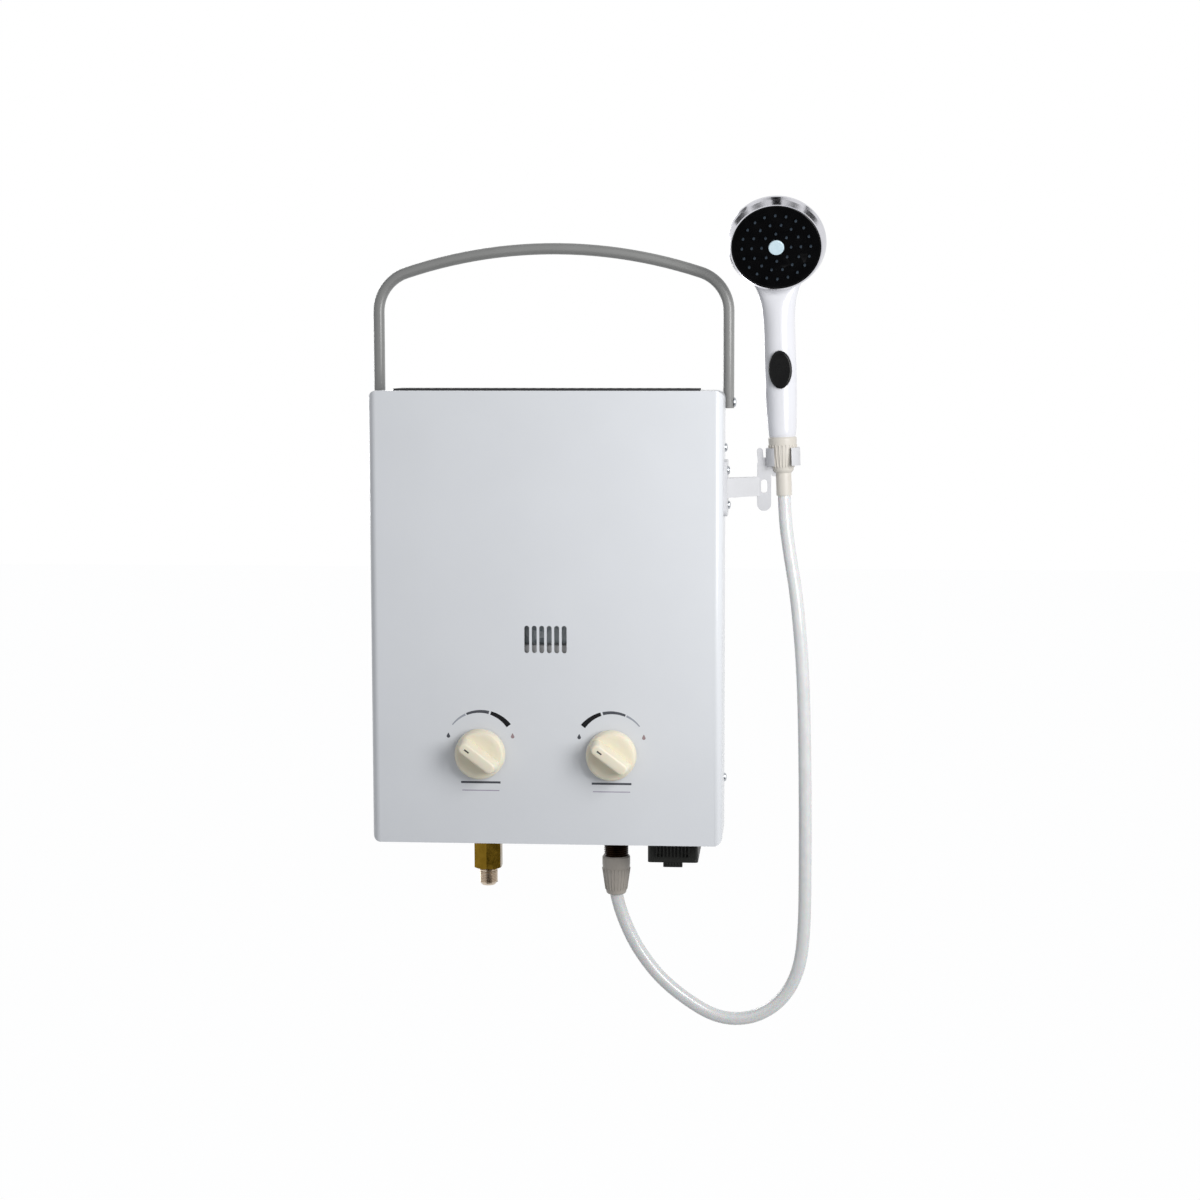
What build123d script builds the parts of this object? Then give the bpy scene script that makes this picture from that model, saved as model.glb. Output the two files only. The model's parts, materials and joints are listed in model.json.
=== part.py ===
from build123d import *
import math
import os

# Portable propane water heater with its hose and hand shower.
# Millimetres, +Z up. The front faces -Y and +X is to the viewer's right.
# The origin is the middle of the four wall screws, on the wall plane Y = 0.

os.makedirs("parts", exist_ok=True)

# ---------------------------------------------------------------- driving dimensions
case_width = 292.0
case_height = 376.0
case_depth = 114.0
sheet = 1.0                  # painted sheet steel
cover_depth = 60.0           # front cover, from the front face back to its rear edge
chassis_step = 3.5           # how far the back chassis stands inside the cover's outline
cover_edge_radius = 6.5      # long front edges
cover_corner_radius = 7.0    # corners seen from the front
chassis_corner = 2.5
chassis_lap = 10.0           # how far the chassis slips into the cover
shelf_side = 4.0             # shelf inside the chassis walls
shelf_gap = 4.0              # between the shelf's front edge and the cover
cover_screw_inset = 48.0     # side screws from the top and the bottom of the case
cover_screw_lap = 5.0        # side screws in front of the cover's rear edge
running_gap = 0.3            # between sheet pieces that slip together
pin_gap = 0.05               # radial, hinge pins and shafts
seat_gap = 0.2               # radial, pieces that drop into each other

exhaust_side = 20.0          # exhaust opening in from each side wall
exhaust_deep = 42.0
exhaust_setback = 28.0       # its middle behind the front face
grille_thick = 1.2
grille_proud = 1.6           # stands out above the top of the case
grille_pitch = 8.0
grille_lap = 4.0
bottom_side = 14.0           # opening under the cover, in from each side wall
bottom_lip = 10.0            # and behind the front face

wall_hole_radius = 3.2
wall_hole_span_x = 210.0
wall_hole_span_z = 300.0

vent_count = 6
vent_width = 4.1
vent_height = 22.7
vent_pitch = 6.2
vent_z = -16.5
air_slot_pitch = 11.0        # low row of slots in the back
back_slot_pitch = 13.0       # higher row

knob_x = 54.5                # knobs stand this far each side of the middle
knob_height_above = 76.0     # knob centres above the bottom of the case
knob_radius = 21.0
knob_base = 9.0              # thickness of the round base
knob_height = 24.0           # base and grip bar together
knob_lift = 2.0              # space between cover and knob
knob_turn = 53.0             # degrees left of straight up at rest
stem_radius = 4.0

bail_tube = 9.5
bail_height = 118.0          # crown centre above the top of the case
bail_crown_radius = 400.0
bail_bend_radius = 34.0
bail_pivot_drop = 10.5       # pivot below the top of the case
bail_set_back = 7.6          # pivot behind the cover's rear edge
bail_foot = 5.0              # leg below the pivot
bail_washer = 1.0
pivot_screw_radius = 2.5
nut_corner_radius = 4.6

gas_x = -56.0
gas_y = -60.0
hex_drop = 8.0               # top of the gas hex below the case
hex_height = 24.5
hex_flat = 11.2              # half its width across flats
nipple_length = 15.0
hot_x = 54.0
hot_y = -60.0
cold_x = 2.0
cold_y = -20.0
cold_drop = 17.0             # cold inlet below the case
pipe_radius = 6.0
pipe_wall = 1.0

male_thread_radius = 10.48   # half inch pipe thread
flare_radius = 7.94          # five eighths flare thread
shoulder_step = 0.8          # shoulder of a water fitting in its hole, beyond its thread

cell_radius = 17.0           # D cell
cell_length = 61.5
cell_pitch = 34.8
battery_wall = 1.8
battery_side = 37.9          # middle of the battery box in from the chassis wall
battery_y = -64.5
battery_drop = 17.0          # how far the battery box stands below the case
door_thick = 2.4

chamber_side = 51.0          # chamber walls in from the sides of the case
chamber_deep = 76.0
chamber_corner = 12.0
chamber_y = -57.0
chamber_height = 110.0
fin_height = 45.0
fin_pitch = 5.0
fin_thick = 0.9
burner_pitch = 22.0
burner_width = 13.0
burner_wall = 1.0
burner_height = 30.0

hose_od = 11.0
hose_wall = 2.0
nut_length = 29.0
nut_wide = 11.9              # radius at the thread end
nut_socket = 11.5            # depth of its thread
nut_narrow = 8.3             # radius at the hose end
outlet_nut_drop = 53.5       # lower end of the heater's hose nut below the case

grip_tilt = 2.1              # degrees, the hand shower leans towards the heater
grip_side = 48.8             # lower end of the hand shower's hose nut out from the side wall
grip_y = -60.0
grip_foot_z = 120.0
ferrule_length = 20.0        # slim neck of that nut, round the end of the hose
ferrule_radius = 6.4
screw_radius = 1.7
pad_thick = 3.0
holder_pad_y = -82.0
arm_z = 107.6
face_radius = 36.5
rim_radius = 41.0
face_pitch = 27.0            # degrees, the spray face looks down by this much
head_height = 184.0          # middle of the spray face above the nut's lower end
head_forward = 36.0
button_height = 85.0         # middle of the pause button above the nut's lower end
button_travel = 2.5

# ---------------------------------------------------------------- places worked out from them
half_w = case_width / 2
half_h = case_height / 2
cover_rear = -(case_depth - cover_depth)
front_inside = -(case_depth - sheet)
chassis_half_w = half_w - chassis_step
chassis_half_h = half_h - chassis_step
chassis_front = cover_rear - chassis_lap
shelf_top = -chassis_half_h + sheet
shelf_under = -chassis_half_h
shelf_front = front_inside + shelf_gap
case_bottom = -half_h
case_top = half_h
knob_z = case_bottom + knob_height_above
cover_screw_y = cover_rear - cover_screw_lap
cover_screw_z = half_h - cover_screw_inset
exhaust_wide = case_width - 2 * exhaust_side
exhaust_y = -case_depth + exhaust_setback
chamber_width = case_width - 2 * chamber_side
outlet_nut_z = case_bottom - outlet_nut_drop
grip_x = half_w + grip_side
battery_x = chassis_half_w - battery_side
battery_width = 2 * cell_radius + 2 * battery_wall + 4.4
battery_length = 2 * cell_radius + cell_pitch + 2 * battery_wall + 0.6
battery_bottom = case_bottom - battery_drop
pivot_y = cover_rear + bail_set_back
pivot_z = case_top - bail_pivot_drop
bail_half = chassis_half_w + bail_washer + bail_tube / 2

holder_screw_places = [(holder_pad_y - 10, arm_z + 15), (holder_pad_y + 10, arm_z - 15)]

front_plane = Plane.XZ.offset(case_depth)
tilt = math.radians(grip_tilt)
grip_axis = Vector(-math.sin(tilt), 0, math.cos(tilt))
grip_cross = Vector(math.cos(tilt), 0, math.sin(tilt))
grip_plane = Plane(origin=(grip_x, grip_y, grip_foot_z), x_dir=grip_cross, z_dir=grip_axis)


def save(piece, name):
    """Label one finished piece and write it as its own STEP file."""
    piece.label = name
    export_step(piece, f"parts/{name}.step")


def case_block(inset, depth):
    """Casing outline drawn in by inset, from the front face back over the given depth."""
    width = case_width - 2 * inset
    height = case_height - 2 * inset
    front = case_depth - inset
    with BuildPart() as block:
        with BuildSketch(Plane.XY.offset(-height / 2)) as plan:
            with Locations((0, -front + depth / 2)):
                Rectangle(width, depth)
            fillet(plan.vertices().group_by(Axis.Y)[0], cover_edge_radius - inset)
        extrude(amount=height)
        with BuildSketch(Plane.XZ.offset(front - depth)):
            RectangleRounded(width, height, cover_corner_radius - inset)
        extrude(amount=depth, mode=Mode.INTERSECT)
    return block.part


def tube(points, radii, outer, wall):
    """A bent tube: straight runs joined by tangent arcs, one radius for each corner."""
    with BuildPart() as pipe:
        with BuildLine() as path:
            FilletPolyline(*points, radius=radii)
        with BuildSketch(Plane(origin=path.line @ 0, z_dir=path.line % 0)):
            Circle(outer)
            Circle(outer - wall, mode=Mode.SUBTRACT)
        sweep(path=path.line)
    return pipe.part


# ---------------------------------------------------------------- casing
with BuildPart() as front_cover:
    add(case_block(0, cover_depth))
    add(case_block(sheet, cover_depth - 2 * sheet), mode=Mode.SUBTRACT)
    # rear opening that the back chassis slips into
    with BuildSketch(Plane.XZ.offset(-cover_rear)):
        RectangleRounded(
            2 * (chassis_half_w + running_gap),
            2 * (chassis_half_h + running_gap),
            chassis_corner,
        )
    extrude(amount=sheet, mode=Mode.SUBTRACT)
    # exhaust opening in the top, and the opening for the fittings in the bottom
    with BuildSketch(Plane.XY.offset(case_top)):
        with Locations((0, exhaust_y)):
            Rectangle(exhaust_wide, exhaust_deep)
    extrude(amount=-sheet, mode=Mode.SUBTRACT)
    lip_y = -case_depth + bottom_lip
    with BuildSketch(Plane.XY.offset(case_bottom)):
        with Locations((0, (cover_rear + lip_y) / 2)):
            Rectangle(case_width - 2 * bottom_side, cover_rear - lip_y)
    extrude(amount=chassis_step, mode=Mode.SUBTRACT)
    # vent slots and knob holes
    with BuildSketch(front_plane):
        with Locations((0, vent_z)):
            with GridLocations(vent_pitch, 1, vent_count, 1):
                SlotOverall(vent_height, vent_width, rotation=90)
        with Locations((-knob_x, knob_z), (knob_x, knob_z)):
            Circle(stem_radius + 3.0)
    extrude(amount=-sheet, mode=Mode.SUBTRACT)
    # screw holes in the side walls
    with BuildSketch(Plane.YZ.offset(-half_w - 1)):
        with Locations((cover_screw_y, cover_screw_z), (cover_screw_y, -cover_screw_z)):
            Circle(screw_radius + running_gap)
    extrude(amount=case_width + 2, mode=Mode.SUBTRACT)
    with BuildSketch(Plane.YZ.offset(half_w + 1)):
        with Locations(*holder_screw_places):
            Circle(screw_radius + pin_gap)
    extrude(amount=-sheet - 1, mode=Mode.SUBTRACT)
save(front_cover.part, "front_cover")

with BuildPart() as back_chassis:
    with BuildSketch(Plane.XZ):
        RectangleRounded(2 * chassis_half_w, 2 * chassis_half_h, chassis_corner)
    extrude(amount=-chassis_front)
    with BuildSketch(Plane.XZ.offset(sheet)):
        RectangleRounded(
            2 * (chassis_half_w - sheet), 2 * (chassis_half_h - sheet), chassis_corner - sheet
        )
    extrude(amount=-chassis_front - sheet, mode=Mode.SUBTRACT)
    # the bottom wall runs forward as a shelf for the fittings
    with BuildSketch(Plane.XY.offset(shelf_under)):
        with Locations((0, (chassis_front + shelf_front) / 2)):
            Rectangle(2 * (chassis_half_w - shelf_side), chassis_front - shelf_front)
    extrude(amount=sheet)
    with BuildSketch(Plane.XY.offset(shelf_under)):
        with Locations((gas_x, gas_y), (hot_x, hot_y), (cold_x, cold_y)):
            Circle(male_thread_radius + shoulder_step + seat_gap)
        with Locations((battery_x, battery_y)):
            Rectangle(battery_width + 2 * running_gap, battery_length + 2 * running_gap)
    extrude(amount=sheet, mode=Mode.SUBTRACT)
    # wall screw holes, air slots low on the back, and the row of lightening holes above them
    with BuildSketch(Plane.XZ):
        with GridLocations(wall_hole_span_x, wall_hole_span_z, 2, 2):
            Circle(wall_hole_radius)
        with Locations((0, shelf_under + 12.5)):
            with GridLocations(air_slot_pitch, 1, 15, 1):
                SlotOverall(14, 4, rotation=90)
        with Locations((0, knob_z + 51.0)):
            with GridLocations(back_slot_pitch, 1, 10, 1):
                SlotOverall(24, 5, rotation=90)
    extrude(amount=sheet, mode=Mode.SUBTRACT)
    # side holes: bail pivots near the top and the cover screws
    with BuildSketch(Plane.YZ.offset(-half_w)):
        with Locations((pivot_y, pivot_z)):
            Circle(pivot_screw_radius + pin_gap)
        with Locations((cover_screw_y, cover_screw_z), (cover_screw_y, -cover_screw_z)):
            Circle(screw_radius + pin_gap)
    extrude(amount=case_width, mode=Mode.SUBTRACT)
save(back_chassis.part, "back_chassis")

with BuildPart() as exhaust_grille:
    # flange under the top sheet, and a field that stands up through the opening
    with BuildSketch(Plane.XY.offset(case_top - sheet)):
        with Locations((0, exhaust_y)):
            Rectangle(exhaust_wide + 3 * grille_lap, exhaust_deep + 2 * grille_lap)
    extrude(amount=-grille_thick)
    with BuildSketch(Plane.XY.offset(case_top - sheet)):
        with Locations((0, exhaust_y)):
            Rectangle(exhaust_wide - 2 * seat_gap, exhaust_deep - 2 * seat_gap)
    extrude(amount=sheet + grille_proud)
    with BuildSketch(Plane.XY.offset(case_top + grille_proud)):
        with Locations((0, exhaust_y)):
            with GridLocations(grille_pitch, 1, int(exhaust_wide / grille_pitch) - 1, 1):
                SlotOverall(exhaust_deep - grille_lap, grille_pitch / 2, rotation=90)
    extrude(amount=-(grille_proud + sheet + grille_thick), mode=Mode.SUBTRACT)
save(exhaust_grille.part, "exhaust_grille")

# six identical self-tapping screws: four hold the cover, two hold the shower holder
with BuildPart() as panel_screws:
    seats = [(x, cover_screw_y, z) for x in (-half_w, half_w) for z in (-cover_screw_z, cover_screw_z)]
    seats += [(half_w + pad_thick, y, z) for y, z in holder_screw_places]
    for seat in seats:
        outward = Plane(origin=seat, z_dir=(math.copysign(1, seat[0]), 0, 0))
        with BuildSketch(outward):
            Circle(3.6)
        extrude(amount=2.0)
        with BuildSketch(outward):
            Circle(screw_radius)
        extrude(amount=-10.0)
save(panel_screws.part, "panel_screws")

# ---------------------------------------------------------------- carrying bail
bend_x = bail_half - bail_bend_radius
crown_z = case_top + bail_height
crown_centre_z = crown_z - bail_crown_radius
reach = bail_crown_radius - bail_bend_radius
bend_z = crown_centre_z + math.sqrt(reach**2 - bend_x**2)
bend_turn = math.degrees(math.atan2(bend_z - crown_centre_z, bend_x))
foot_z = pivot_z - bail_foot

with BuildPart() as bail_handle:
    with BuildLine(Plane.XZ.offset(-pivot_y)) as bail_path:
        Line((-bail_half, foot_z), (-bail_half, bend_z))
        CenterArc((-bend_x, bend_z), bail_bend_radius, 180, -bend_turn)
        CenterArc((0, crown_centre_z), bail_crown_radius, 180 - bend_turn, 2 * bend_turn - 180)
        CenterArc((bend_x, bend_z), bail_bend_radius, bend_turn, -bend_turn)
        Line((bail_half, bend_z), (bail_half, foot_z))
    with BuildSketch(Plane(origin=(-bail_half, pivot_y, foot_z), z_dir=(0, 0, 1))):
        Circle(bail_tube / 2)
    sweep(path=bail_path.wires()[0])
    # cross holes for the pivot screws
    with BuildSketch(Plane.YZ.offset(-half_w - 20)):
        with Locations((pivot_y, pivot_z)):
            Circle(pivot_screw_radius + pin_gap)
    extrude(amount=case_width + 40, mode=Mode.SUBTRACT)
save(bail_handle.part, "bail_handle")

with BuildPart() as pivot_screws:
    for side in (-1, 1):
        outer_face = side * (bail_half + bail_tube / 2)
        with BuildSketch(Plane(origin=(outer_face, pivot_y, pivot_z), z_dir=(side, 0, 0))):
            Circle(4.0)
        extrude(amount=1.8)
        with BuildSketch(Plane(origin=(outer_face, pivot_y, pivot_z), z_dir=(side, 0, 0))):
            Circle(pivot_screw_radius)
        extrude(amount=-(bail_tube + bail_washer + sheet + 6.5))
save(pivot_screws.part, "bail_pivot_screws")

with BuildPart() as pivot_washers:
    for side in (-1, 1):
        with BuildSketch(Plane(origin=(side * chassis_half_w, pivot_y, pivot_z), z_dir=(side, 0, 0))):
            Circle(5.5)
            Circle(pivot_screw_radius + pin_gap, mode=Mode.SUBTRACT)
        extrude(amount=bail_washer)
save(pivot_washers.part, "bail_washers")

with BuildPart() as pivot_nuts:
    for side in (-1, 1):
        inner_face = side * (chassis_half_w - sheet)
        with BuildSketch(Plane(origin=(inner_face, pivot_y, pivot_z), z_dir=(-side, 0, 0))):
            RegularPolygon(nut_corner_radius, 6, rotation=30)
            Circle(pivot_screw_radius + 0.02, mode=Mode.SUBTRACT)
        extrude(amount=4.5)
save(pivot_nuts.part, "bail_pivot_nuts")

# ---------------------------------------------------------------- flue, exchanger and chamber
flue_rise = 38.0             # fins below the top of the case
collar_height = 12.0
web_half = 6.5               # band of the water tubes through the fins
fin_high = case_top - flue_rise
fin_low = fin_high - fin_height
chamber_low = fin_low - chamber_height
web_z = (fin_low + fin_high) / 2
flue_collar_z = case_top - collar_height
flue_top = case_top - sheet - grille_thick
tube_bore = 5.0

electrode_x = 8.0
electrode_z = chamber_low + 15.0
ceramic_radius = 3.0

with BuildPart() as flue_hood:
    for inset, mode in ((0, Mode.ADD), (sheet, Mode.SUBTRACT)):
        with BuildSketch(Plane.XY.offset(fin_high)):
            with Locations((0, chamber_y)):
                RectangleRounded(
                    chamber_width - 2 * inset, chamber_deep - 2 * inset, chamber_corner - inset
                )
        with BuildSketch(Plane.XY.offset(flue_collar_z)):
            with Locations((0, exhaust_y)):
                RectangleRounded(
                    exhaust_wide - 6 - 2 * inset, exhaust_deep - 2 - 2 * inset, 6 - inset
                )
        loft(mode=mode)
        with BuildSketch(Plane.XY.offset(flue_collar_z)):
            with Locations((0, exhaust_y)):
                RectangleRounded(
                    exhaust_wide - 6 - 2 * inset, exhaust_deep - 2 - 2 * inset, 6 - inset
                )
        extrude(amount=flue_top - flue_collar_z, mode=mode)
save(flue_hood.part, "flue_hood")

with BuildPart() as fin_block:
    with BuildSketch(Plane.XY.offset(fin_low)):
        with Locations((0, chamber_y)):
            RectangleRounded(chamber_width, chamber_deep, chamber_corner)
    extrude(amount=fin_high - fin_low)
    fin_run = fin_height / 2 - web_half
    for start, run in ((fin_low, fin_run), (fin_high, -fin_run)):
        with BuildSketch(Plane.XY.offset(start)):
            with Locations((0, chamber_y)):
                with GridLocations(fin_pitch, 1, int((chamber_width - 2 * fin_pitch) / fin_pitch), 1):
                    Rectangle(fin_pitch - fin_thick, chamber_deep - 4)
        extrude(amount=run, mode=Mode.SUBTRACT)
    with BuildSketch(Plane.YZ.offset(-chamber_width / 2)):
        with Locations((chamber_y, web_z)):
            with GridLocations(2 * tube_bore + 3, 1, 5, 1):
                Circle(tube_bore)
    extrude(amount=chamber_width, mode=Mode.SUBTRACT)
save(fin_block.part, "heat_exchanger_fins")

with BuildPart() as chamber:
    with BuildSketch(Plane.XY.offset(chamber_low)):
        with Locations((0, chamber_y)):
            RectangleRounded(chamber_width, chamber_deep, chamber_corner)
            RectangleRounded(
                chamber_width - 2 * sheet,
                chamber_deep - 2 * sheet,
                chamber_corner - sheet,
                mode=Mode.SUBTRACT,
            )
    extrude(amount=fin_low - chamber_low)
    with BuildSketch(Plane.XZ.offset(-chamber_y)):
        with Locations((-electrode_x, electrode_z), (electrode_x, electrode_z)):
            Circle(ceramic_radius + seat_gap)
    extrude(amount=chamber_deep, mode=Mode.SUBTRACT)
save(chamber.part, "combustion_chamber")

valve_front = -84.0
valve_back = -40.0

# water pipes: the cold riser wraps the chamber twice before it enters the fins
coil_x = chamber_width / 2 + pipe_radius + 0.2
coil_front = chamber_y - chamber_deep / 2 - pipe_radius - 0.2
coil_back = chamber_y + chamber_deep / 2 + pipe_radius + 0.2
valve_top = knob_z + 23.0
riser_x = 64.0
riser_y = -60.0
turn_z = chamber_low + 35.0  # first turn round the chamber
turn_rise = 32.0             # to the second one
header_x = coil_x + 15.0
riser_route = [
    (riser_x, riser_y, valve_top - 2),
    (riser_x, riser_y, valve_top + 14),
    (coil_x, riser_y, valve_top + 14),
    (coil_x, riser_y, turn_z),
    (coil_x, coil_front, turn_z),
    (-coil_x, coil_front, turn_z),
    (-coil_x, coil_back, turn_z),
    (coil_x, coil_back, turn_z + turn_rise),
    (coil_x, coil_front, turn_z + turn_rise),
    (-coil_x, coil_front, turn_z + turn_rise),
    (-coil_x, chamber_y, turn_z + turn_rise + 4),
    (-header_x, chamber_y, turn_z + turn_rise + 28),
    (-header_x, chamber_y, web_z),
    (-chamber_width / 2, chamber_y, web_z),
]
riser_bends = [9, 14, 14, 14, 14, 14, 14, 14, 14, 12, 12, 12]
riser_pipe = tube(riser_route, riser_bends, pipe_radius, pipe_wall)
save(riser_pipe, "cold_riser_pipe")

down_x = chamber_width / 2 + 29.0
down_y = -18.0
hot_neck = shelf_top + 11.5
hot_route = [
    (chamber_width / 2, chamber_y, web_z),
    (down_x, chamber_y, web_z),
    (down_x, down_y, web_z - 16),
    (down_x, down_y, hot_neck + 14),
    (hot_x, down_y, hot_neck + 14),
    (hot_x, hot_y, hot_neck + 14),
    (hot_x, hot_y, hot_neck),
]
hot_pipe = tube(hot_route, [12, 14, 14, 14, 10], pipe_radius, pipe_wall)
save(hot_pipe, "hot_pipe")

cold_neck = shelf_top + 15.5
cold_route = [
    (cold_x, cold_y, cold_neck),
    (cold_x, cold_y, knob_z - 5),
    (knob_x - 5, cold_y, knob_z - 5),
    (knob_x - 5, valve_back, knob_z - 5),
]
cold_pipe = tube(cold_route, [12, 10], pipe_radius, pipe_wall)
save(cold_pipe, "cold_feed_pipe")

# ---------------------------------------------------------------- burner
frame_height = 37.0
frame_wall = 1.5
frame_low = chamber_low - frame_height
burner_count = int((chamber_width - 14) / burner_pitch)
burner_xs = [(i - (burner_count - 1) / 2) * burner_pitch for i in range(burner_count)]
lug_x = (burner_count / 2 - 1) * burner_pitch
jet_z = frame_low + 14.0
frame_front = chamber_y - chamber_deep / 2
manifold_rear = frame_front - 4.0
manifold_thick = 10.0
manifold_y = manifold_rear - manifold_thick / 2

with BuildPart() as burner_frame:
    with BuildSketch(Plane.XY.offset(frame_low)):
        with Locations((0, chamber_y)):
            RectangleRounded(chamber_width, chamber_deep, chamber_corner)
    extrude(amount=chamber_low - frame_low)
    with BuildSketch(Plane.XY.offset(frame_low + frame_wall)):
        with Locations((0, chamber_y)):
            RectangleRounded(
                chamber_width - 2 * frame_wall,
                chamber_deep - 2 * frame_wall,
                chamber_corner - frame_wall,
            )
    extrude(amount=chamber_low - frame_low - frame_wall, mode=Mode.SUBTRACT)
    with BuildSketch(Plane.XY.offset(frame_low)):
        with Locations((0, chamber_y)):
            Rectangle(chamber_width - 30, chamber_deep - 18)
    extrude(amount=frame_wall, mode=Mode.SUBTRACT)
    with BuildSketch(Plane.XZ.offset(-chamber_y)):
        with Locations(*[(x, jet_z) for x in burner_xs]):
            Circle(3.5)
    extrude(amount=chamber_deep, mode=Mode.SUBTRACT)
save(burner_frame.part, "burner_frame")

with BuildPart() as burner_bars:
    with BuildSketch(Plane.XY.offset(frame_low + frame_wall)):
        with Locations(*[(x, chamber_y) for x in burner_xs]):
            RectangleRounded(burner_width, chamber_deep - 2 * frame_wall - 1, 2)
    extrude(amount=burner_height)
    with BuildSketch(Plane.XY.offset(frame_low + frame_wall + burner_wall)):
        with Locations(*[(x, chamber_y) for x in burner_xs]):
            Rectangle(burner_width - 2 * burner_wall, chamber_deep - 2 * frame_wall - 1 - 2 * burner_wall)
    extrude(amount=burner_height - 2 * burner_wall, mode=Mode.SUBTRACT)
    with BuildSketch(Plane.XY.offset(frame_low + frame_wall + burner_height)):
        with Locations((0, chamber_y)):
            with GridLocations(burner_pitch, 6.0, burner_count, 11):
                Rectangle(9.0, 1.6)
    extrude(amount=-burner_wall, mode=Mode.SUBTRACT)
    with BuildSketch(Plane.XZ.offset(-frame_front - frame_wall - 0.5)):
        with Locations(*[(x, jet_z) for x in burner_xs]):
            Circle(4.0)
    extrude(amount=-burner_wall, mode=Mode.SUBTRACT)
save(burner_bars.part, "burner_bars")

with BuildPart() as manifold:
    with BuildSketch(Plane.XZ.offset(-manifold_rear)):
        with Locations((0, jet_z)):
            RectangleRounded(burner_count * burner_pitch - 8, 12, 2)
    extrude(amount=manifold_thick)
    with BuildSketch(Plane.XZ.offset(-manifold_rear)):
        with Locations(*[(x, jet_z) for x in burner_xs]):
            Circle(2.2)
    extrude(amount=-(frame_front - manifold_rear + 1))
    with BuildSketch(Plane.XZ.offset(-manifold_rear)):
        with Locations((-lug_x, jet_z), (lug_x, jet_z)):
            Rectangle(5, 10)
    extrude(amount=-(frame_front - manifold_rear))
save(manifold.part, "gas_manifold")

gas_rise_y = -72.0
gas_route = [
    (gas_x, gas_rise_y, valve_top),
    (gas_x, gas_rise_y, valve_top + 22),
    (gas_x, manifold_y, valve_top + 22),
    (gas_x, manifold_y, jet_z - 6),
]
gas_pipe = tube(gas_route, [10, 10], 4.5, pipe_wall)
save(gas_pipe, "gas_pipe")

# ---------------------------------------------------------------- gas and water valves
valve_low = valve_top - 48.0
valve_half = 27.0            # half width of the gas valve
neck_drop = 18.0             # neck of the gas inlet below the valve
boss_front = valve_front - 8.0
boss_radius = 9.0
rod_y = -58.0
rod_z = knob_z - 9.0
rod_radius = 3.0
rod_travel = 3.0
rod_seat = 11.0              # rod's end inside the gas valve
gas_valve_right = gas_x + valve_half
stem_inner = -62.0           # inner end of each valve stem
stem_outer = -(case_depth + 14.0)


def valve_body(left, right, stem_x):
    """Valve block with a boss and a bore for its stem."""
    with BuildPart() as body:
        with BuildSketch(Plane.XY.offset(valve_low)):
            with Locations(((left + right) / 2, (valve_front + valve_back) / 2)):
                RectangleRounded(right - left, valve_back - valve_front, 4)
        extrude(amount=valve_top - valve_low)
        with BuildSketch(Plane.XZ.offset(-valve_front)):
            with Locations((stem_x, knob_z)):
                Circle(boss_radius)
        extrude(amount=valve_front - boss_front)
        with BuildSketch(Plane.XZ.offset(-boss_front)):
            with Locations((stem_x, knob_z)):
                Circle(stem_radius + pin_gap)
        extrude(amount=boss_front - stem_inner - 1.0, mode=Mode.SUBTRACT)
    return body.part


with BuildPart() as gas_valve_body:
    add(valve_body(gas_x - valve_half, gas_valve_right, -knob_x))
    with BuildSketch(Plane.XY.offset(valve_low)):
        with Locations((gas_x, gas_y)):
            Circle(12.0)
    extrude(amount=-neck_drop)
    # bore for the push rod
    with BuildSketch(Plane.YZ.offset(gas_valve_right)):
        with Locations((rod_y, rod_z)):
            Circle(rod_radius + pin_gap)
    extrude(amount=-(rod_seat + rod_travel + 6.0), mode=Mode.SUBTRACT)
save(gas_valve_body.part, "gas_valve_body")

water_left = 31.0
water_right = 76.0
housing_radius = 25.0
housing_thick = 6.0
disc_thick = 2.0
cup_deep = 14.0              # diaphragm cover
with BuildPart() as water_valve_body:
    add(valve_body(water_left, water_right, knob_x))
    with BuildSketch(Plane.YZ.offset(water_left)):
        with Locations((rod_y, rod_z)):
            Circle(housing_radius)
    extrude(amount=-housing_thick)
    with BuildSketch(Plane.XY.offset(valve_top)):
        with Locations((riser_x, riser_y)):
            Circle(pipe_radius + 3.0)
    extrude(amount=-2, mode=Mode.SUBTRACT)
save(water_valve_body.part, "water_valve_body")

disc_right = water_left - housing_thick
disc_left = disc_right - disc_thick
with BuildPart() as diaphragm:
    with BuildSketch(Plane.YZ.offset(disc_right)):
        with Locations((rod_y, rod_z)):
            Circle(housing_radius)
    extrude(amount=-disc_thick)
save(diaphragm.part, "diaphragm")

with BuildPart() as diaphragm_cover:
    with BuildSketch(Plane.YZ.offset(disc_left)):
        with Locations((rod_y, rod_z)):
            Circle(housing_radius)
    extrude(amount=-cup_deep)
    with BuildSketch(Plane.YZ.offset(disc_left)):
        with Locations((rod_y, rod_z)):
            Circle(housing_radius - 6.0)
    extrude(amount=3.0 - cup_deep, mode=Mode.SUBTRACT)
    with BuildSketch(Plane.YZ.offset(disc_left)):
        with Locations((rod_y, rod_z)):
            Circle(rod_radius + pin_gap)
    extrude(amount=-cup_deep, mode=Mode.SUBTRACT)
    rim_edges = diaphragm_cover.edges().filter_by(GeomType.CIRCLE).sort_by(Axis.X)[:2]
    fillet(rim_edges.sort_by(SortBy.RADIUS)[-1], 4)
save(diaphragm_cover.part, "diaphragm_cover")

rod_right = disc_left - 0.3
collar_right = 0.0
collar_left = collar_right - 2.0
rod_left = gas_valve_right - rod_seat
with BuildPart() as push_rod:
    with BuildSketch(Plane.YZ.offset(rod_left)):
        with Locations((rod_y, rod_z)):
            Circle(rod_radius)
    extrude(amount=rod_right - rod_left)
    with BuildSketch(Plane.YZ.offset(rod_right)):
        with Locations((rod_y, rod_z)):
            Circle(15.0)
    extrude(amount=-2.0)
    with BuildSketch(Plane.YZ.offset(collar_right)):
        with Locations((rod_y, rod_z)):
            Circle(9.0)
    extrude(amount=-2.0)
save(push_rod.part, "push_rod")

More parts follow.
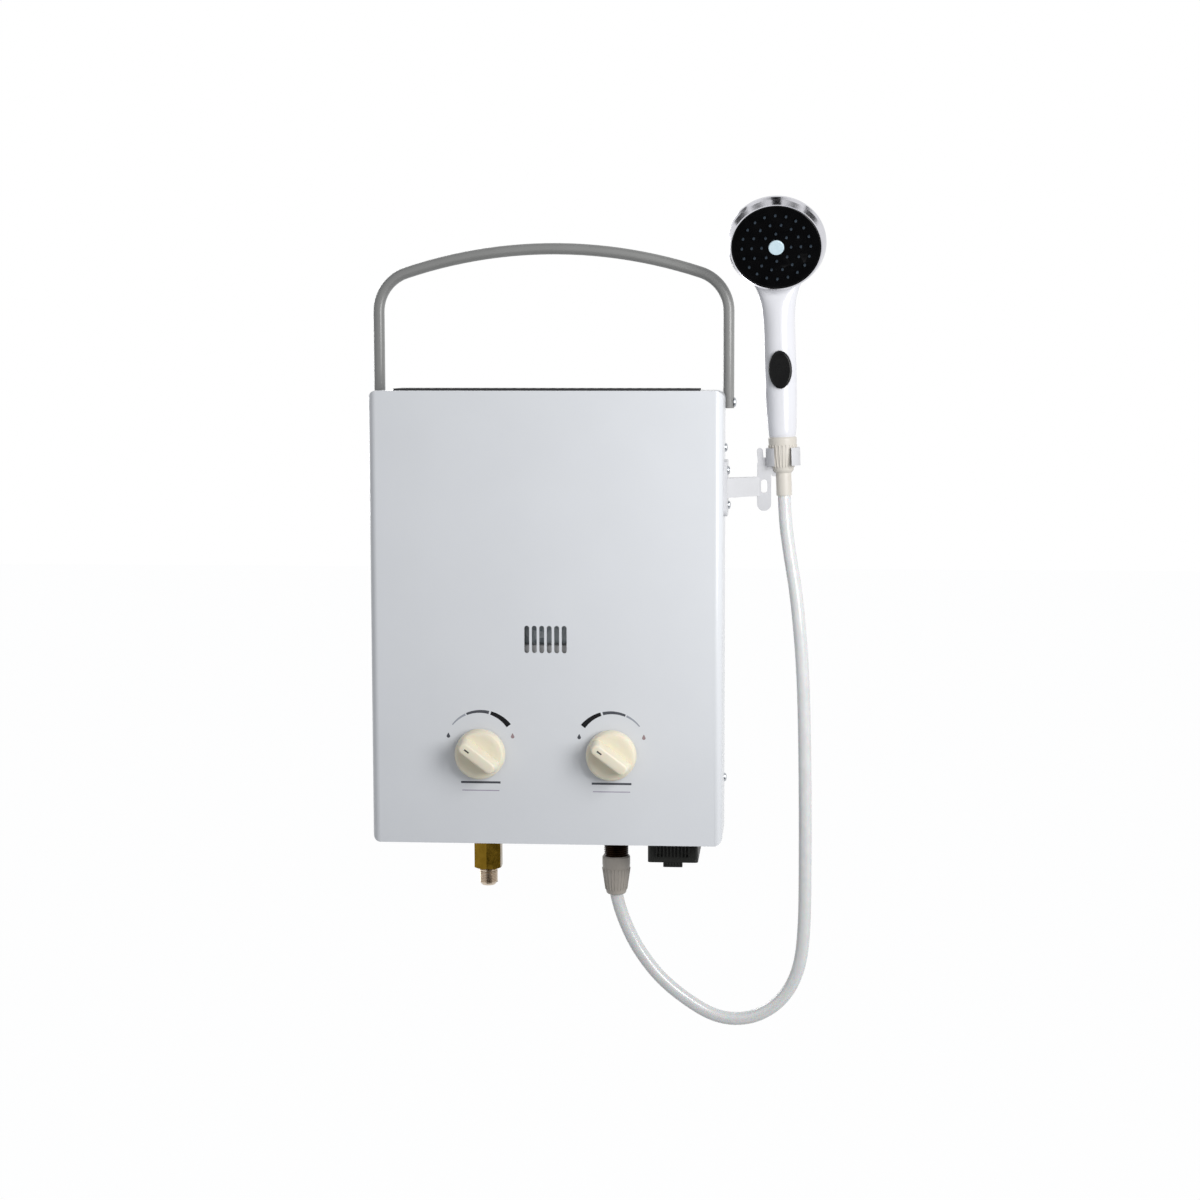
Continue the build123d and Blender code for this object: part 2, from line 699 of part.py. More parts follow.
spring_turns = 6
spring_left = gas_valve_right + 0.2
spring_room = collar_left - 0.2 - spring_left
spring_wire = 0.7
spring_radius = 5.0
with BuildPart() as return_spring:
    with BuildLine() as coil_path:
        Helix(
            pitch=(spring_room - 2 * spring_wire) / spring_turns,
            height=spring_room - 2 * spring_wire,
            radius=spring_radius,
            center=(spring_left + spring_wire, rod_y, rod_z),
            direction=(1, 0, 0),
        )
    with BuildSketch(Plane(origin=coil_path.line @ 0, z_dir=coil_path.line % 0)):
        Circle(spring_wire)
    sweep(path=coil_path.line, is_frenet=True)
save(return_spring.part, "return_spring")

for stem_name, stem_x in (("gas_valve_stem", -knob_x), ("water_valve_stem", knob_x)):
    with BuildPart() as stem:
        with BuildSketch(Plane.XZ.offset(-stem_inner)):
            with Locations((stem_x, knob_z)):
                Circle(stem_radius)
        extrude(amount=stem_inner - stem_outer)
        with BuildSketch(Plane.XZ.offset(-boss_front + 1.0)):
            with Locations((stem_x, knob_z)):
                Circle(stem_radius + 2.5)
        extrude(amount=2.0)
    save(stem.part, stem_name)

# ---------------------------------------------------------------- knobs
knob_back = case_depth + knob_lift
for knob_name, centre_x in (("gas_knob", -knob_x), ("water_knob", knob_x)):
    back = Plane(origin=(centre_x, -knob_back, knob_z), x_dir=(1, 0, 0), z_dir=(0, -1, 0))
    with BuildPart() as knob:
        with BuildSketch(back):
            Circle(knob_radius)
        extrude(amount=knob_base, taper=4)
        fillet(knob.faces().sort_by(Axis.Y)[0].edges(), 2.0)
        with BuildSketch(back.offset(knob_base - 1.0)):
            RectangleRounded(2 * knob_radius - 3, 12.5, 4.5, rotation=90 + knob_turn)
        extrude(amount=knob_height - knob_base + 1.0, taper=7)
        fillet(knob.faces().sort_by(Axis.Y)[0].edges(), 1.4)
        with BuildSketch(back):
            Circle(stem_radius + 0.02)
        extrude(amount=-stem_outer - knob_back, mode=Mode.SUBTRACT)
    save(knob.part, knob_name)

# ---------------------------------------------------------------- gas inlet, hot outlet, cold inlet
hex_top = case_bottom - hex_drop
union_low = hex_top - hex_height
nipple_low = union_low - nipple_length
neck_low = valve_low - neck_drop
gas_bore = 4.0
with BuildPart() as gas_union:
    with BuildSketch(Plane.XY.offset(neck_low)):
        with Locations((gas_x, gas_y)):
            Circle(9.0)
    extrude(amount=hex_top - neck_low)
    with BuildSketch(Plane.XY.offset(hex_top)):
        with Locations((gas_x, gas_y)):
            RegularPolygon(hex_flat, 6, major_radius=False, rotation=30)
    extrude(amount=union_low - hex_top)
    with BuildSketch(Plane.XY.offset(neck_low)):
        with Locations((gas_x, gas_y)):
            Circle(gas_bore)
    extrude(amount=union_low - neck_low, mode=Mode.SUBTRACT)
save(gas_union.part, "gas_inlet_union")

with BuildPart() as gas_nipple:
    with BuildSketch(Plane.XY.offset(union_low)):
        with Locations((gas_x, gas_y)):
            Circle(flare_radius)
    extrude(amount=nipple_low - union_low)
    chamfer(gas_nipple.faces().sort_by(Axis.Z)[0].edges(), 1.8)
    with BuildSketch(Plane.XY.offset(union_low)):
        with Locations((gas_x, gas_y)):
            Circle(gas_bore)
    extrude(amount=nipple_low - union_low, mode=Mode.SUBTRACT)
save(gas_nipple.part, "gas_flare_nipple")


flange_radius = 14.0
flange_top = shelf_top + 4.0


def water_fitting(x, y, top, low):
    """Male thread below the shelf, a flange that rests on the shelf and a neck to its pipe."""
    with BuildPart() as fitting:
        with BuildSketch(Plane.XY.offset(top)):
            with Locations((x, y)):
                Circle(8.0)
        extrude(amount=flange_top - top)
        with BuildSketch(Plane.XY.offset(flange_top)):
            with Locations((x, y)):
                Circle(flange_radius)
        extrude(amount=shelf_top - flange_top)
        # shoulder that centres it in the shelf's hole, then the male thread
        with BuildSketch(Plane.XY.offset(shelf_top)):
            with Locations((x, y)):
                Circle(male_thread_radius + shoulder_step)
        extrude(amount=shelf_under - shelf_top)
        with BuildSketch(Plane.XY.offset(shelf_under)):
            with Locations((x, y)):
                Circle(male_thread_radius)
        extrude(amount=low - shelf_under)
        with BuildSketch(Plane.XY.offset(top)):
            with Locations((x, y)):
                Circle(pipe_radius - pipe_wall)
        extrude(amount=low - top, mode=Mode.SUBTRACT)
    return fitting.part


socket_z = nut_length - nut_socket
washer_thick = 2.0
hot_fitting = water_fitting(hot_x, hot_y, hot_neck, outlet_nut_z + socket_z + washer_thick)
save(hot_fitting, "hot_outlet_fitting")
cold_fitting = water_fitting(cold_x, cold_y, cold_neck, case_bottom - cold_drop)
save(cold_fitting, "cold_inlet_fitting")

# ---------------------------------------------------------------- battery box
battery_front = battery_y - battery_length / 2
battery_back = battery_y + battery_length / 2
battery_top = battery_bottom + door_thick + 0.4 + cell_length + 7.0 + battery_wall
cell_low = battery_bottom + door_thick + 1.0
hinge_y = battery_back + 3.2
hinge_z = battery_bottom + 3.0
hinge_radius = 2.8
lug_half = battery_width / 2 - 1.0
lug_wide = 6.0
tab_half = 8.0
tab_drop = 4.0
catch_offset = 11.0
catch_wide = 3.0

with BuildPart() as battery_box:
    with BuildSketch(Plane.XY.offset(battery_bottom + door_thick)):
        with Locations((battery_x, battery_y)):
            RectangleRounded(battery_width, battery_length, 3)
            RectangleRounded(
                battery_width - 2 * battery_wall,
                battery_length - 2 * battery_wall,
                1.5,
                mode=Mode.SUBTRACT,
            )
    extrude(amount=battery_top - battery_bottom - door_thick)
    with BuildSketch(Plane.XY.offset(battery_top)):
        with Locations((battery_x, battery_y)):
            RectangleRounded(battery_width, battery_length, 3)
    extrude(amount=-battery_wall)
    # flange that rests on the shelf, open where the pipes pass
    with BuildSketch(Plane.XY.offset(shelf_top)):
        with Locations((battery_x, battery_y)):
            Rectangle(battery_width + 6, battery_length + 4)
            Rectangle(battery_width - 1, battery_length - 1, mode=Mode.SUBTRACT)
    extrude(amount=2.0)
    # hinge lugs behind the lower edge
    for lug_left in (-lug_half, lug_half - lug_wide):
        with BuildSketch(Plane.YZ.offset(battery_x + lug_left)):
            with Locations((hinge_y, hinge_z)):
                Circle(hinge_radius)
            with Locations((hinge_y - hinge_radius / 2 - 0.4, hinge_z + hinge_radius / 2 + 0.6)):
                Rectangle(hinge_radius + 0.8, hinge_radius + 1.2)
            with Locations((hinge_y, hinge_z)):
                Circle(1.25 + 0.02, mode=Mode.SUBTRACT)
        extrude(amount=lug_wide)
    # catch slot in the front wall
    with BuildSketch(Plane.XZ.offset(-battery_front)):
        for catch_x in (-catch_offset, catch_offset):
            with Locations((battery_x + catch_x, battery_bottom + door_thick + 3.5)):
                Rectangle(catch_wide + 1, 2.4)
    extrude(amount=-battery_wall, mode=Mode.SUBTRACT)
save(battery_box.part, "battery_box")

with BuildPart() as battery_door:
    with BuildSketch(Plane.XY.offset(battery_bottom)):
        with Locations((battery_x, battery_y)):
            RectangleRounded(battery_width, battery_length, 3)
    extrude(amount=door_thick)
    # finger tab below the front edge and the catch that snaps into the slot
    with BuildSketch(Plane.XY.offset(battery_bottom)):
        with Locations((battery_x, battery_front + 3.0)):
            RectangleRounded(2 * tab_half, 5.0, 1.2)
    extrude(amount=-tab_drop)
    with BuildSketch(Plane.XY.offset(battery_bottom + door_thick)):
        for catch_x in (-catch_offset, catch_offset):
            with Locations((battery_x + catch_x, battery_front + battery_wall + 1.1)):
                Rectangle(catch_wide, 1.4)
    extrude(amount=4.4)
    # hinge barrel between the lugs
    barrel_half = lug_half - lug_wide - 0.4
    with BuildSketch(Plane.YZ.offset(battery_x - barrel_half)):
        with Locations((hinge_y, hinge_z)):
            Circle(hinge_radius)
        with Locations((hinge_y - 2.4, battery_bottom + door_thick / 2)):
            Rectangle(4.8, door_thick)
        with Locations((hinge_y, hinge_z)):
            Circle(1.25 + pin_gap, mode=Mode.SUBTRACT)
    extrude(amount=2 * barrel_half)
save(battery_door.part, "battery_door")

with BuildPart() as door_pin:
    with BuildSketch(Plane.YZ.offset(battery_x - lug_half)):
        with Locations((hinge_y, hinge_z)):
            Circle(1.25)
    extrude(amount=2 * lug_half)
save(door_pin.part, "battery_door_pin")

cell_places = [(battery_x, battery_y - cell_pitch / 2), (battery_x, battery_y + cell_pitch / 2)]
with BuildPart() as cells:
    with BuildSketch(Plane.XY.offset(cell_low)):
        with Locations(*cell_places):
            Circle(cell_radius)
    extrude(amount=cell_length - 1.8)
    fillet(cells.edges().filter_by(GeomType.CIRCLE), 1.2)
    with BuildSketch(Plane.XY.offset(cell_low + cell_length - 1.8)):
        with Locations(*cell_places):
            Circle(4.5)
    extrude(amount=1.8)
save(cells.part, "battery_cells")

with BuildPart() as contacts:
    with BuildSketch(Plane.XY.offset(battery_top - battery_wall)):
        with Locations(*cell_places):
            Circle(9.0)
    extrude(amount=-0.6)
    with BuildSketch(Plane.XY.offset(battery_top - battery_wall - 0.6)):
        with Locations(*cell_places):
            Circle(5.0)
            Circle(4.0, mode=Mode.SUBTRACT)
    extrude(amount=-(battery_top - battery_wall - 0.6 - cell_low - cell_length))
save(contacts.part, "battery_contacts")

# ---------------------------------------------------------------- switch, igniter, sensors
switch_y = rod_y + 7.0
switch_low = rod_z + 18.0
lever_pivot_x = -3.2
lever_pivot_z = switch_low - 1.8
with BuildPart() as microswitch:
    with BuildSketch(Plane.XZ.offset(-switch_y - 4)):
        with Locations((-10, switch_low + 5)):
            Rectangle(20, 10)
        with Locations((lever_pivot_x, lever_pivot_z + 0.9)):
            Rectangle(3.6, 1.8)
    extrude(amount=8)
    # fork that carries the lever's pin
    with BuildSketch(Plane.XZ.offset(-switch_y - 2)):
        with Locations((lever_pivot_x, lever_pivot_z)):
            Rectangle(6, 4)
    extrude(amount=4, mode=Mode.SUBTRACT)
    with BuildSketch(Plane.XZ.offset(-switch_y - 5)):
        with Locations((lever_pivot_x, lever_pivot_z + 0.4)):
            Circle(0.65)
    extrude(amount=10, mode=Mode.SUBTRACT)
    # foot that reaches back to the chassis
    with BuildSketch(Plane.XY.offset(switch_low + 10)):
        with Locations((-16, (switch_y + 4 - sheet) / 2)):
            Rectangle(8, -(switch_y + 4) - sheet)
    extrude(amount=-1.5)
save(microswitch.part, "microswitch")

with BuildPart() as switch_lever:
    with BuildSketch(Plane.XZ.offset(-switch_y - 1.6)):
        with Locations((lever_pivot_x, lever_pivot_z + 0.4)):
            Circle(1.1)
        with Locations((lever_pivot_x - 0.3, lever_pivot_z - 6.6)):
            Rectangle(0.6, 13.4)
    extrude(amount=3.2)
    with BuildSketch(Plane.XZ.offset(-switch_y - 4)):
        with Locations((lever_pivot_x, lever_pivot_z + 0.4)):
            Circle(0.6)
    extrude(amount=8)
save(switch_lever.part, "switch_lever")

igniter_x = -(chassis_half_w - 24.5)
igniter_z = knob_z + 47.0
igniter_deep = 64.0
igniter_high = 60.0
with BuildPart() as igniter_box:
    with BuildSketch(Plane.XZ.offset(sheet)):
        with Locations((igniter_x, igniter_z)):
            RectangleRounded(34, igniter_high, 3)
    extrude(amount=igniter_deep)
    fillet(igniter_box.faces().sort_by(Axis.Y)[0].edges(), 2)
save(igniter_box.part, "igniter_box")

with BuildPart() as electrode_bracket:
    with BuildSketch(Plane.XZ.offset(-frame_front)):
        with Locations((0, electrode_z)):
            RectangleRounded(34, 16, 2)
            with Locations((-electrode_x, 0), (electrode_x, 0)):
                Circle(ceramic_radius + pin_gap, mode=Mode.SUBTRACT)
    extrude(amount=1.2)
save(electrode_bracket.part, "electrode_bracket")

electrode_radius = 0.8
with BuildPart() as ceramics:
    with BuildSketch(Plane.XZ.offset(-frame_front - 8)):
        with Locations((-electrode_x, electrode_z), (electrode_x, electrode_z)):
            Circle(ceramic_radius)
            Circle(electrode_radius + pin_gap, mode=Mode.SUBTRACT)
    extrude(amount=17)
save(ceramics.part, "electrode_ceramics")

with BuildPart() as electrode_wires:
    with BuildSketch(Plane.XZ.offset(-frame_front - 20)):
        with Locations((-electrode_x, electrode_z), (electrode_x, electrode_z)):
            Circle(electrode_radius)
    extrude(amount=33)
save(electrode_wires.part, "electrode_wires")

thermostat_x = 40.0
with BuildPart() as thermostat:
    with BuildSketch(Plane.XZ.offset(-frame_front)):
        with Locations((thermostat_x, web_z)):
            Circle(8.0)
    extrude(amount=6)
    with BuildSketch(Plane.XZ.offset(-frame_front + 6)):
        with Locations((thermostat_x - 4, web_z), (thermostat_x + 4, web_z)):
            Rectangle(0.8, 6)
    extrude(amount=6)
save(thermostat.part, "overheat_thermostat")

with BuildPart() as solenoid:
    with BuildSketch(Plane.YZ.offset(gas_x - valve_half)):
        with Locations(((valve_front + valve_back) / 2, valve_top - 20)):
            Circle(11.0)
    extrude(amount=-24)
    fillet(solenoid.faces().sort_by(Axis.X)[0].edges(), 2)
save(solenoid.part, "gas_solenoid")

# three leads: batteries to igniter, igniter to electrodes, igniter to switch
lead = 1.25
igniter_front = -(igniter_deep + sheet)
supply_z = igniter_z - 16.0
supply_y = -95.0
spark_y = igniter_front - 41.0
spark_z = igniter_z + 15.0
signal_z = igniter_z - 18.0
lead_x = battery_x - 8.6
lead_routes = [
    [
        (lead_x, battery_y - 7.5, battery_top),
        (lead_x, battery_y - 7.5, supply_z),
        (lead_x, supply_y, supply_z),
        (igniter_x + 6, supply_y, supply_z),
        (igniter_x + 6, igniter_front, supply_z),
    ],
    [
        (igniter_x, igniter_front, spark_z),
        (igniter_x, spark_y, spark_z),
        (igniter_x, spark_y, electrode_z),
        (-electrode_x - electrode_radius, spark_y, electrode_z),
    ],
    [
        (igniter_x + 17, switch_y + 1, signal_z),
        (-12, switch_y + 1, signal_z),
        (-12, switch_y + 1, switch_low + 10),
    ],
]
with BuildPart() as wiring:
    for route in lead_routes:
        with BuildLine() as lead_path:
            FilletPolyline(*route, radius=[8] * (len(route) - 2))
        with BuildSketch(Plane(origin=lead_path.line @ 0, z_dir=lead_path.line % 0)):
            Circle(lead)
        sweep(path=lead_path.line)
save(wiring.part, "wiring_harness")

# ---------------------------------------------------------------- brackets inside
chamber_back = chamber_y + chamber_deep / 2
strip_low = valve_low + 4.0
strips = [(gas_x - 24, valve_back, strip_low, 40), (water_right - 5, valve_back, strip_low, 38)]
strips += [(x, chamber_back, low, 14) for x in (-70, 70) for low in (fin_low - 17, frame_low + 10)]
with BuildPart() as inner_brackets:
    for strip_x, front, low, tall in strips:
        with BuildSketch(Plane.XY.offset(low)):
            with Locations((strip_x, (front - sheet) / 2)):
                Rectangle(1.5, -front - sheet)
            with Locations((strip_x + 4, -sheet - 0.75)):
                Rectangle(8, 1.5)
        extrude(amount=tall)
save(inner_brackets.part, "inner_brackets")

filter_low = case_bottom - cold_drop + 2.0
filter_radius = pipe_radius - pipe_wall - seat_gap
filter_length = 18.0
with BuildPart() as inlet_filter:
    with BuildSketch(Plane.XY.offset(filter_low)):
        with Locations((cold_x, cold_y)):
            Circle(filter_radius)
            Circle(filter_radius - 1.2, mode=Mode.SUBTRACT)
    extrude(amount=filter_length)
    with BuildSketch(Plane.XY.offset(filter_low + filter_length)):
        with Locations((cold_x, cold_y)):
            Circle(filter_radius)
    extrude(amount=0.8)
save(inlet_filter.part, "inlet_filter")

# ---------------------------------------------------------------- hose and its two nuts
def nut_profile(extra):
    """Half section of the tapered hose nut, from its hose end up; extra widens it."""
    Polyline(
        (0, 0),
        (nut_narrow + extra, 0),
        (nut_wide - 0.5 + extra, socket_z),
        (nut_wide + extra, nut_length - 4.0),
        (nut_wide + extra, nut_length - 1.0),
        (nut_wide - 1.0 + extra, nut_length),
        (0, nut_length),
        close=True,
    )


def hose_nut(base, neck=0.0):
    """Tapered nut on the end of the hose; base points up, and a slim neck may hang below it."""
    middle = Plane(origin=base.origin, x_dir=base.x_dir, z_dir=-base.y_dir)
    with BuildPart() as nut:
        with BuildSketch(middle):
            with BuildLine():
                nut_profile(0)
            make_face()
        revolve(axis=Axis(base.origin, base.z_dir))
        if neck:
            with BuildSketch(base.offset(-neck)):
                Circle(ferrule_radius)
            extrude(amount=neck)
        # socket for the male thread
        with BuildSketch(base.offset(socket_z)):
            Circle(male_thread_radius + pin_gap)
        extrude(amount=nut_socket, mode=Mode.SUBTRACT)
        with BuildSketch(base.offset(-neck)):
            Circle(hose_od / 2 - hose_wall)
        extrude(amount=nut_length + neck, mode=Mode.SUBTRACT)
    return nut.part


outlet_plane = Plane(origin=(hot_x, hot_y, outlet_nut_z), x_dir=(1, 0, 0), z_dir=(0, 0, 1))
outlet_nut = hose_nut(outlet_plane)
save(outlet_nut, "outlet_hose_nut")
handset_nut = hose_nut(grip_plane, ferrule_length)
save(handset_nut, "handset_hose_nut")

with BuildPart() as washers:
    for base in (outlet_plane, grip_plane):
        with BuildSketch(base.offset(socket_z)):
            Circle(male_thread_radius - 0.3)
            Circle(hose_od / 2 - hose_wall, mode=Mode.SUBTRACT)
        extrude(amount=washer_thick)
save(washers.part, "hose_washers")

# The hose hangs from the outlet nut in one loop up to the hand shower's nut.
last_run = 20.0
hose_end = grip_plane.origin - grip_axis * ferrule_length
end_below = hose_end - grip_axis * last_run
hose_route = [
    (hot_x, hot_y, outlet_nut_z),
    (54, -60, -257.5),
    (60.9, -60.5, -278.5),
    (75.3, -61.5, -298),
    (93, -63, -316),
    (114.5, -64.5, -332.5),
    (138.5, -66, -346.3),
    (162.5, -67, -348.6),
    (184.5, -67.5, -340.5),
    (201.5, -67.5, -324),
    (211.5, -67, -300.5),
    (214.8, -66, -268),
    (215.2, -65, -222),
    (214.6, -63.5, -135),
    (212.5, -62, -50),
    (206.5, -61, 15),
    (200.5, -60.4, 50),
    (end_below.X, end_below.Y, end_below.Z),
    (hose_end.X, hose_end.Y, hose_end.Z),
]
corners = [Vector(*p) for p in hose_route]
hose_bends = []
for before, here, after in zip(corners, corners[1:], corners[2:]):
    short = min((here - before).length, (after - here).length)
    half_turn = math.radians((here - before).get_angle(after - here)) / 2
    hose_bends.append(0.45 * short / math.tan(half_turn))
print("hose bend radii", [round(r, 1) for r in hose_bends])
hose = tube(hose_route, hose_bends, hose_od / 2, hose_wall)
hose_section = math.pi * ((hose_od / 2) ** 2 - (hose_od / 2 - hose_wall) ** 2)
print("hose length", round(hose.volume / hose_section, 1))
save(hose, "shower_hose")

# ---------------------------------------------------------------- hand shower
grip_origin = grip_plane.origin
grip_middle = Plane(origin=grip_origin, x_dir=grip_cross, z_dir=-grip_plane.y_dir)
pitch = math.radians(face_pitch)
face_centre = grip_origin + grip_axis * head_height - Vector(0, 1, 0) * head_forward
face_out = Vector(0, -1, 0) * math.cos(pitch) - grip_axis * math.sin(pitch)
face_plane = Plane(origin=face_centre, x_dir=grip_cross, z_dir=face_out)
face_middle = Plane(origin=face_centre, x_dir=grip_cross, z_dir=grip_cross.cross(face_out))
face_axis = Axis(face_centre, face_out)
tail_low = socket_z + washer_thick
tail_top = nut_length + 0.5
grip_top = head_height - 6.0
rim_deep = 12.0
dome_deep = 33.0             # back of the head behind the spray face
neck_bore = 26.0             # water way into the head, below its middle

button_front = 16.5
button_back = 10.0
button_pocket = button_back - button_travel - 0.5
button_half_width = 9.5
button_half_height = 15.5
button_plane = Plane(
    origin=grip_origin + grip_axis * button_height,
    x_dir=grip_cross,
    z_dir=Vector(0, -1, 0),
)

with BuildPart() as handset_shell:
    with BuildSketch(grip_middle):
        with BuildLine():
            Polyline(
                (0, grip_top + 2),
                (0, tail_low),
                (male_thread_radius, tail_low),
                (male_thread_radius, tail_top),
                (11.5, tail_top + 1),
            )
            Spline(
                (11.5, tail_top + 1),
                (13.6, button_height - 10),
                (12.6, grip_top - 46),
                (11, grip_top - 8),
            )
            ThreePointArc((11, grip_top - 8), (7.8, grip_top - 0.9), (0, grip_top + 2))
        make_face()
    revolve(axis=Axis(grip_origin, grip_axis))
    # head: shallow dome behind the rim
    with BuildSketch(face_middle):
        with BuildLine():
            Line((0, -rim_deep), (rim_radius - 1.5, -rim_deep))
            Spline(
                (rim_radius - 1.5, -rim_deep),
                (30, -dome_deep + 9),
                (0, -dome_deep),
                tangents=[(0, -1), (-1, 0)],
            )
            Line((0, -dome_deep), (0, -rim_deep))
        make_face()
    revolve(axis=face_axis)
    with BuildSketch(face_plane.offset(-rim_deep)):
        Circle(rim_radius + 6)
    extrude(amount=30, mode=Mode.SUBTRACT)
    # water way up the grip and the chamber behind the spray face
    with BuildSketch(face_plane.offset(-rim_deep)):
        Circle(rim_radius - 8)
    extrude(amount=-6, mode=Mode.SUBTRACT)
    with BuildSketch(face_plane.offset(-rim_deep)):
        with Locations((0, -neck_bore), (0, neck_bore)):
            Circle(4.0)
    extrude(amount=-16, mode=Mode.SUBTRACT)
    with BuildSketch(grip_plane):
        Circle(4.0)
    extrude(amount=grip_top - 6, mode=Mode.SUBTRACT)
    # pocket for the pause button
    with BuildSketch(button_plane.offset(button_pocket)):
        Ellipse(button_half_width + seat_gap, button_half_height + seat_gap)
    extrude(amount=12, mode=Mode.SUBTRACT)
save(handset_shell.part, "handset_shell")

with BuildPart() as rim:
    with BuildSketch(face_middle):
        with BuildLine():
            Polyline(
                (face_radius + seat_gap, 0),
                (face_radius + 1.2, 0.4),
                (rim_radius - 1.0, -5.0),
                (rim_radius, -8.0),
                (rim_radius, -10.5),
                (rim_radius - 1.5, -rim_deep),
                (face_radius - 4, -rim_deep),
                (face_radius - 4, -rim_deep + 2),
                (face_radius + seat_gap, -rim_deep + 2),
                close=True,
            )
        make_face()
    revolve(axis=face_axis)
save(rim.part, "spray_head_rim")

cap_radius = 6.4
nozzle_rings = [(12.0, 8), (20.0, 14), (28.0, 20)]
with BuildPart() as spray_face:
    with BuildSketch(face_plane.offset(-rim_deep + 2)):
        Circle(face_radius)
    extrude(amount=rim_deep - 2 - 0.6)
    fillet(spray_face.faces().sort_by(face_axis)[-1].edges(), 1.0)
    with BuildSketch(face_plane.offset(-0.6)):
        Circle(cap_radius + 0.1)
        for ring_radius, count in nozzle_rings:
            with PolarLocations(ring_radius, count):
                Circle(1.3)
    extrude(amount=-1.6, mode=Mode.SUBTRACT)
save(spray_face.part, "spray_face")

with BuildPart() as centre_cap:
    with BuildSketch(face_plane.offset(-2.2)):
        Circle(cap_radius)
    extrude(amount=3.0)
    fillet(centre_cap.faces().sort_by(face_axis)[-1].edges(), 0.8)
save(centre_cap.part, "spray_centre_cap")

with BuildPart() as nozzles:
    with BuildSketch(face_plane.offset(-2.2)):
        for ring_radius, count in nozzle_rings:
            with PolarLocations(ring_radius, count):
                Circle(1.2)
    extrude(amount=2.8, taper=4)
save(nozzles.part, "spray_nozzles")

with BuildPart() as pause_button:
    with BuildSketch(button_plane.offset(button_back)):
        Ellipse(button_half_width, button_half_height)
    extrude(amount=button_front - button_back)
    fillet(pause_button.faces().sort_by(Axis.Y)[0].edges(), 1.6)
save(pause_button.part, "pause_button")

with BuildPart() as button_spring:
    with BuildSketch(button_plane.offset(button_pocket)):
        Circle(4.0)
        Circle(3.0, mode=Mode.SUBTRACT)
    extrude(amount=button_back - button_pocket)
save(button_spring.part, "button_spring")

# ---------------------------------------------------------------- holder on the side wall
plate_left = half_w + 26.8
plate_right = plate_left + 11.8
plate_low = arm_z - 20.6
plate_high = arm_z + 24.0
plate_deep = 5.0
cradle_low = 5.0
cradle_high = 20.0
cradle_radius = 14.5

with BuildPart() as holder:
    with BuildSketch(Plane.YZ.offset(half_w)):
        with Locations((holder_pad_y, arm_z)):
            RectangleRounded(34, 46, 5)
        with Locations(*holder_screw_places):
            Circle(screw_radius + running_gap, mode=Mode.SUBTRACT)
    extrude(amount=pad_thick)
    # arm from the pad to the plate, and the plate with its oval hole and finger
    with BuildSketch(Plane.XY.offset(arm_z - 8)):
        with BuildLine():
            Polyline(
                (half_w + pad_thick - 0.5, holder_pad_y - 8),
                (half_w + pad_thick - 0.5, holder_pad_y + 8),
                (plate_left + 2, grip_y + plate_deep / 2),
                (plate_left + 2, grip_y - plate_deep / 2),
                close=True,
            )
        make_face()
    extrude(amount=16)
    with BuildSketch(Plane.XZ.offset(-grip_y - plate_deep / 2)):
        with Locations(((plate_left + plate_right) / 2, (plate_low + plate_high) / 2)):
            SlotOverall(plate_high - plate_low, plate_right - plate_left, rotation=90)
        with Locations((plate_left + 2.6, plate_high + 1)):
            SlotOverall(14, 5, rotation=96)
        with Locations((plate_right + 1.0, plate_high - 8.5)):
            SlotOverall(15, 4.4, rotation=105)
        with Locations(((plate_left + plate_right) / 2, arm_z)):
            SlotOverall(11.5, 5.2, rotation=90, mode=Mode.SUBTRACT)
    extrude(amount=plate_deep)
    # tapered cradle round the nut, open to the front
    with BuildSketch(grip_plane.offset(cradle_low)):
        Circle(cradle_radius)
    extrude(amount=cradle_high - cradle_low)
    with BuildSketch(grip_middle):
        with BuildLine():
            nut_profile(seat_gap)
        make_face()
    revolve(axis=Axis(grip_origin, grip_axis), mode=Mode.SUBTRACT)
    with BuildSketch(grip_plane):
        Circle(ferrule_radius + seat_gap)
    extrude(amount=-ferrule_length, mode=Mode.SUBTRACT)
    with BuildSketch(grip_plane.offset(cradle_high)):
        Circle(nut_wide + 1.5)
    extrude(amount=60, mode=Mode.SUBTRACT)
    with BuildSketch(grip_plane):
        with Locations((0, -20)):
            Rectangle(2 * ferrule_radius + 1.5, 40)
    extrude(amount=40, mode=Mode.SUBTRACT)
save(holder.part, "shower_holder")
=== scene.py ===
# %% [markdown]
# # A portable gas water heater with its hand shower
# The heater is a sheet-metal case that hangs on a wall by four screws. A carrying bail stands on
# top, two knobs and their printed scales are on the front, and a gas union, a hot outlet and a
# battery box stand out below. A soft hose loops up to a hand shower in a holder on the right wall.
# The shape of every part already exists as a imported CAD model. This lesson loads it as a fixed
# frame, gives every surface a finish, and adds the pieces that want finer modelling.

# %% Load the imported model
import json
import math

import bmesh
import bpy
from mathutils import Matrix, Vector


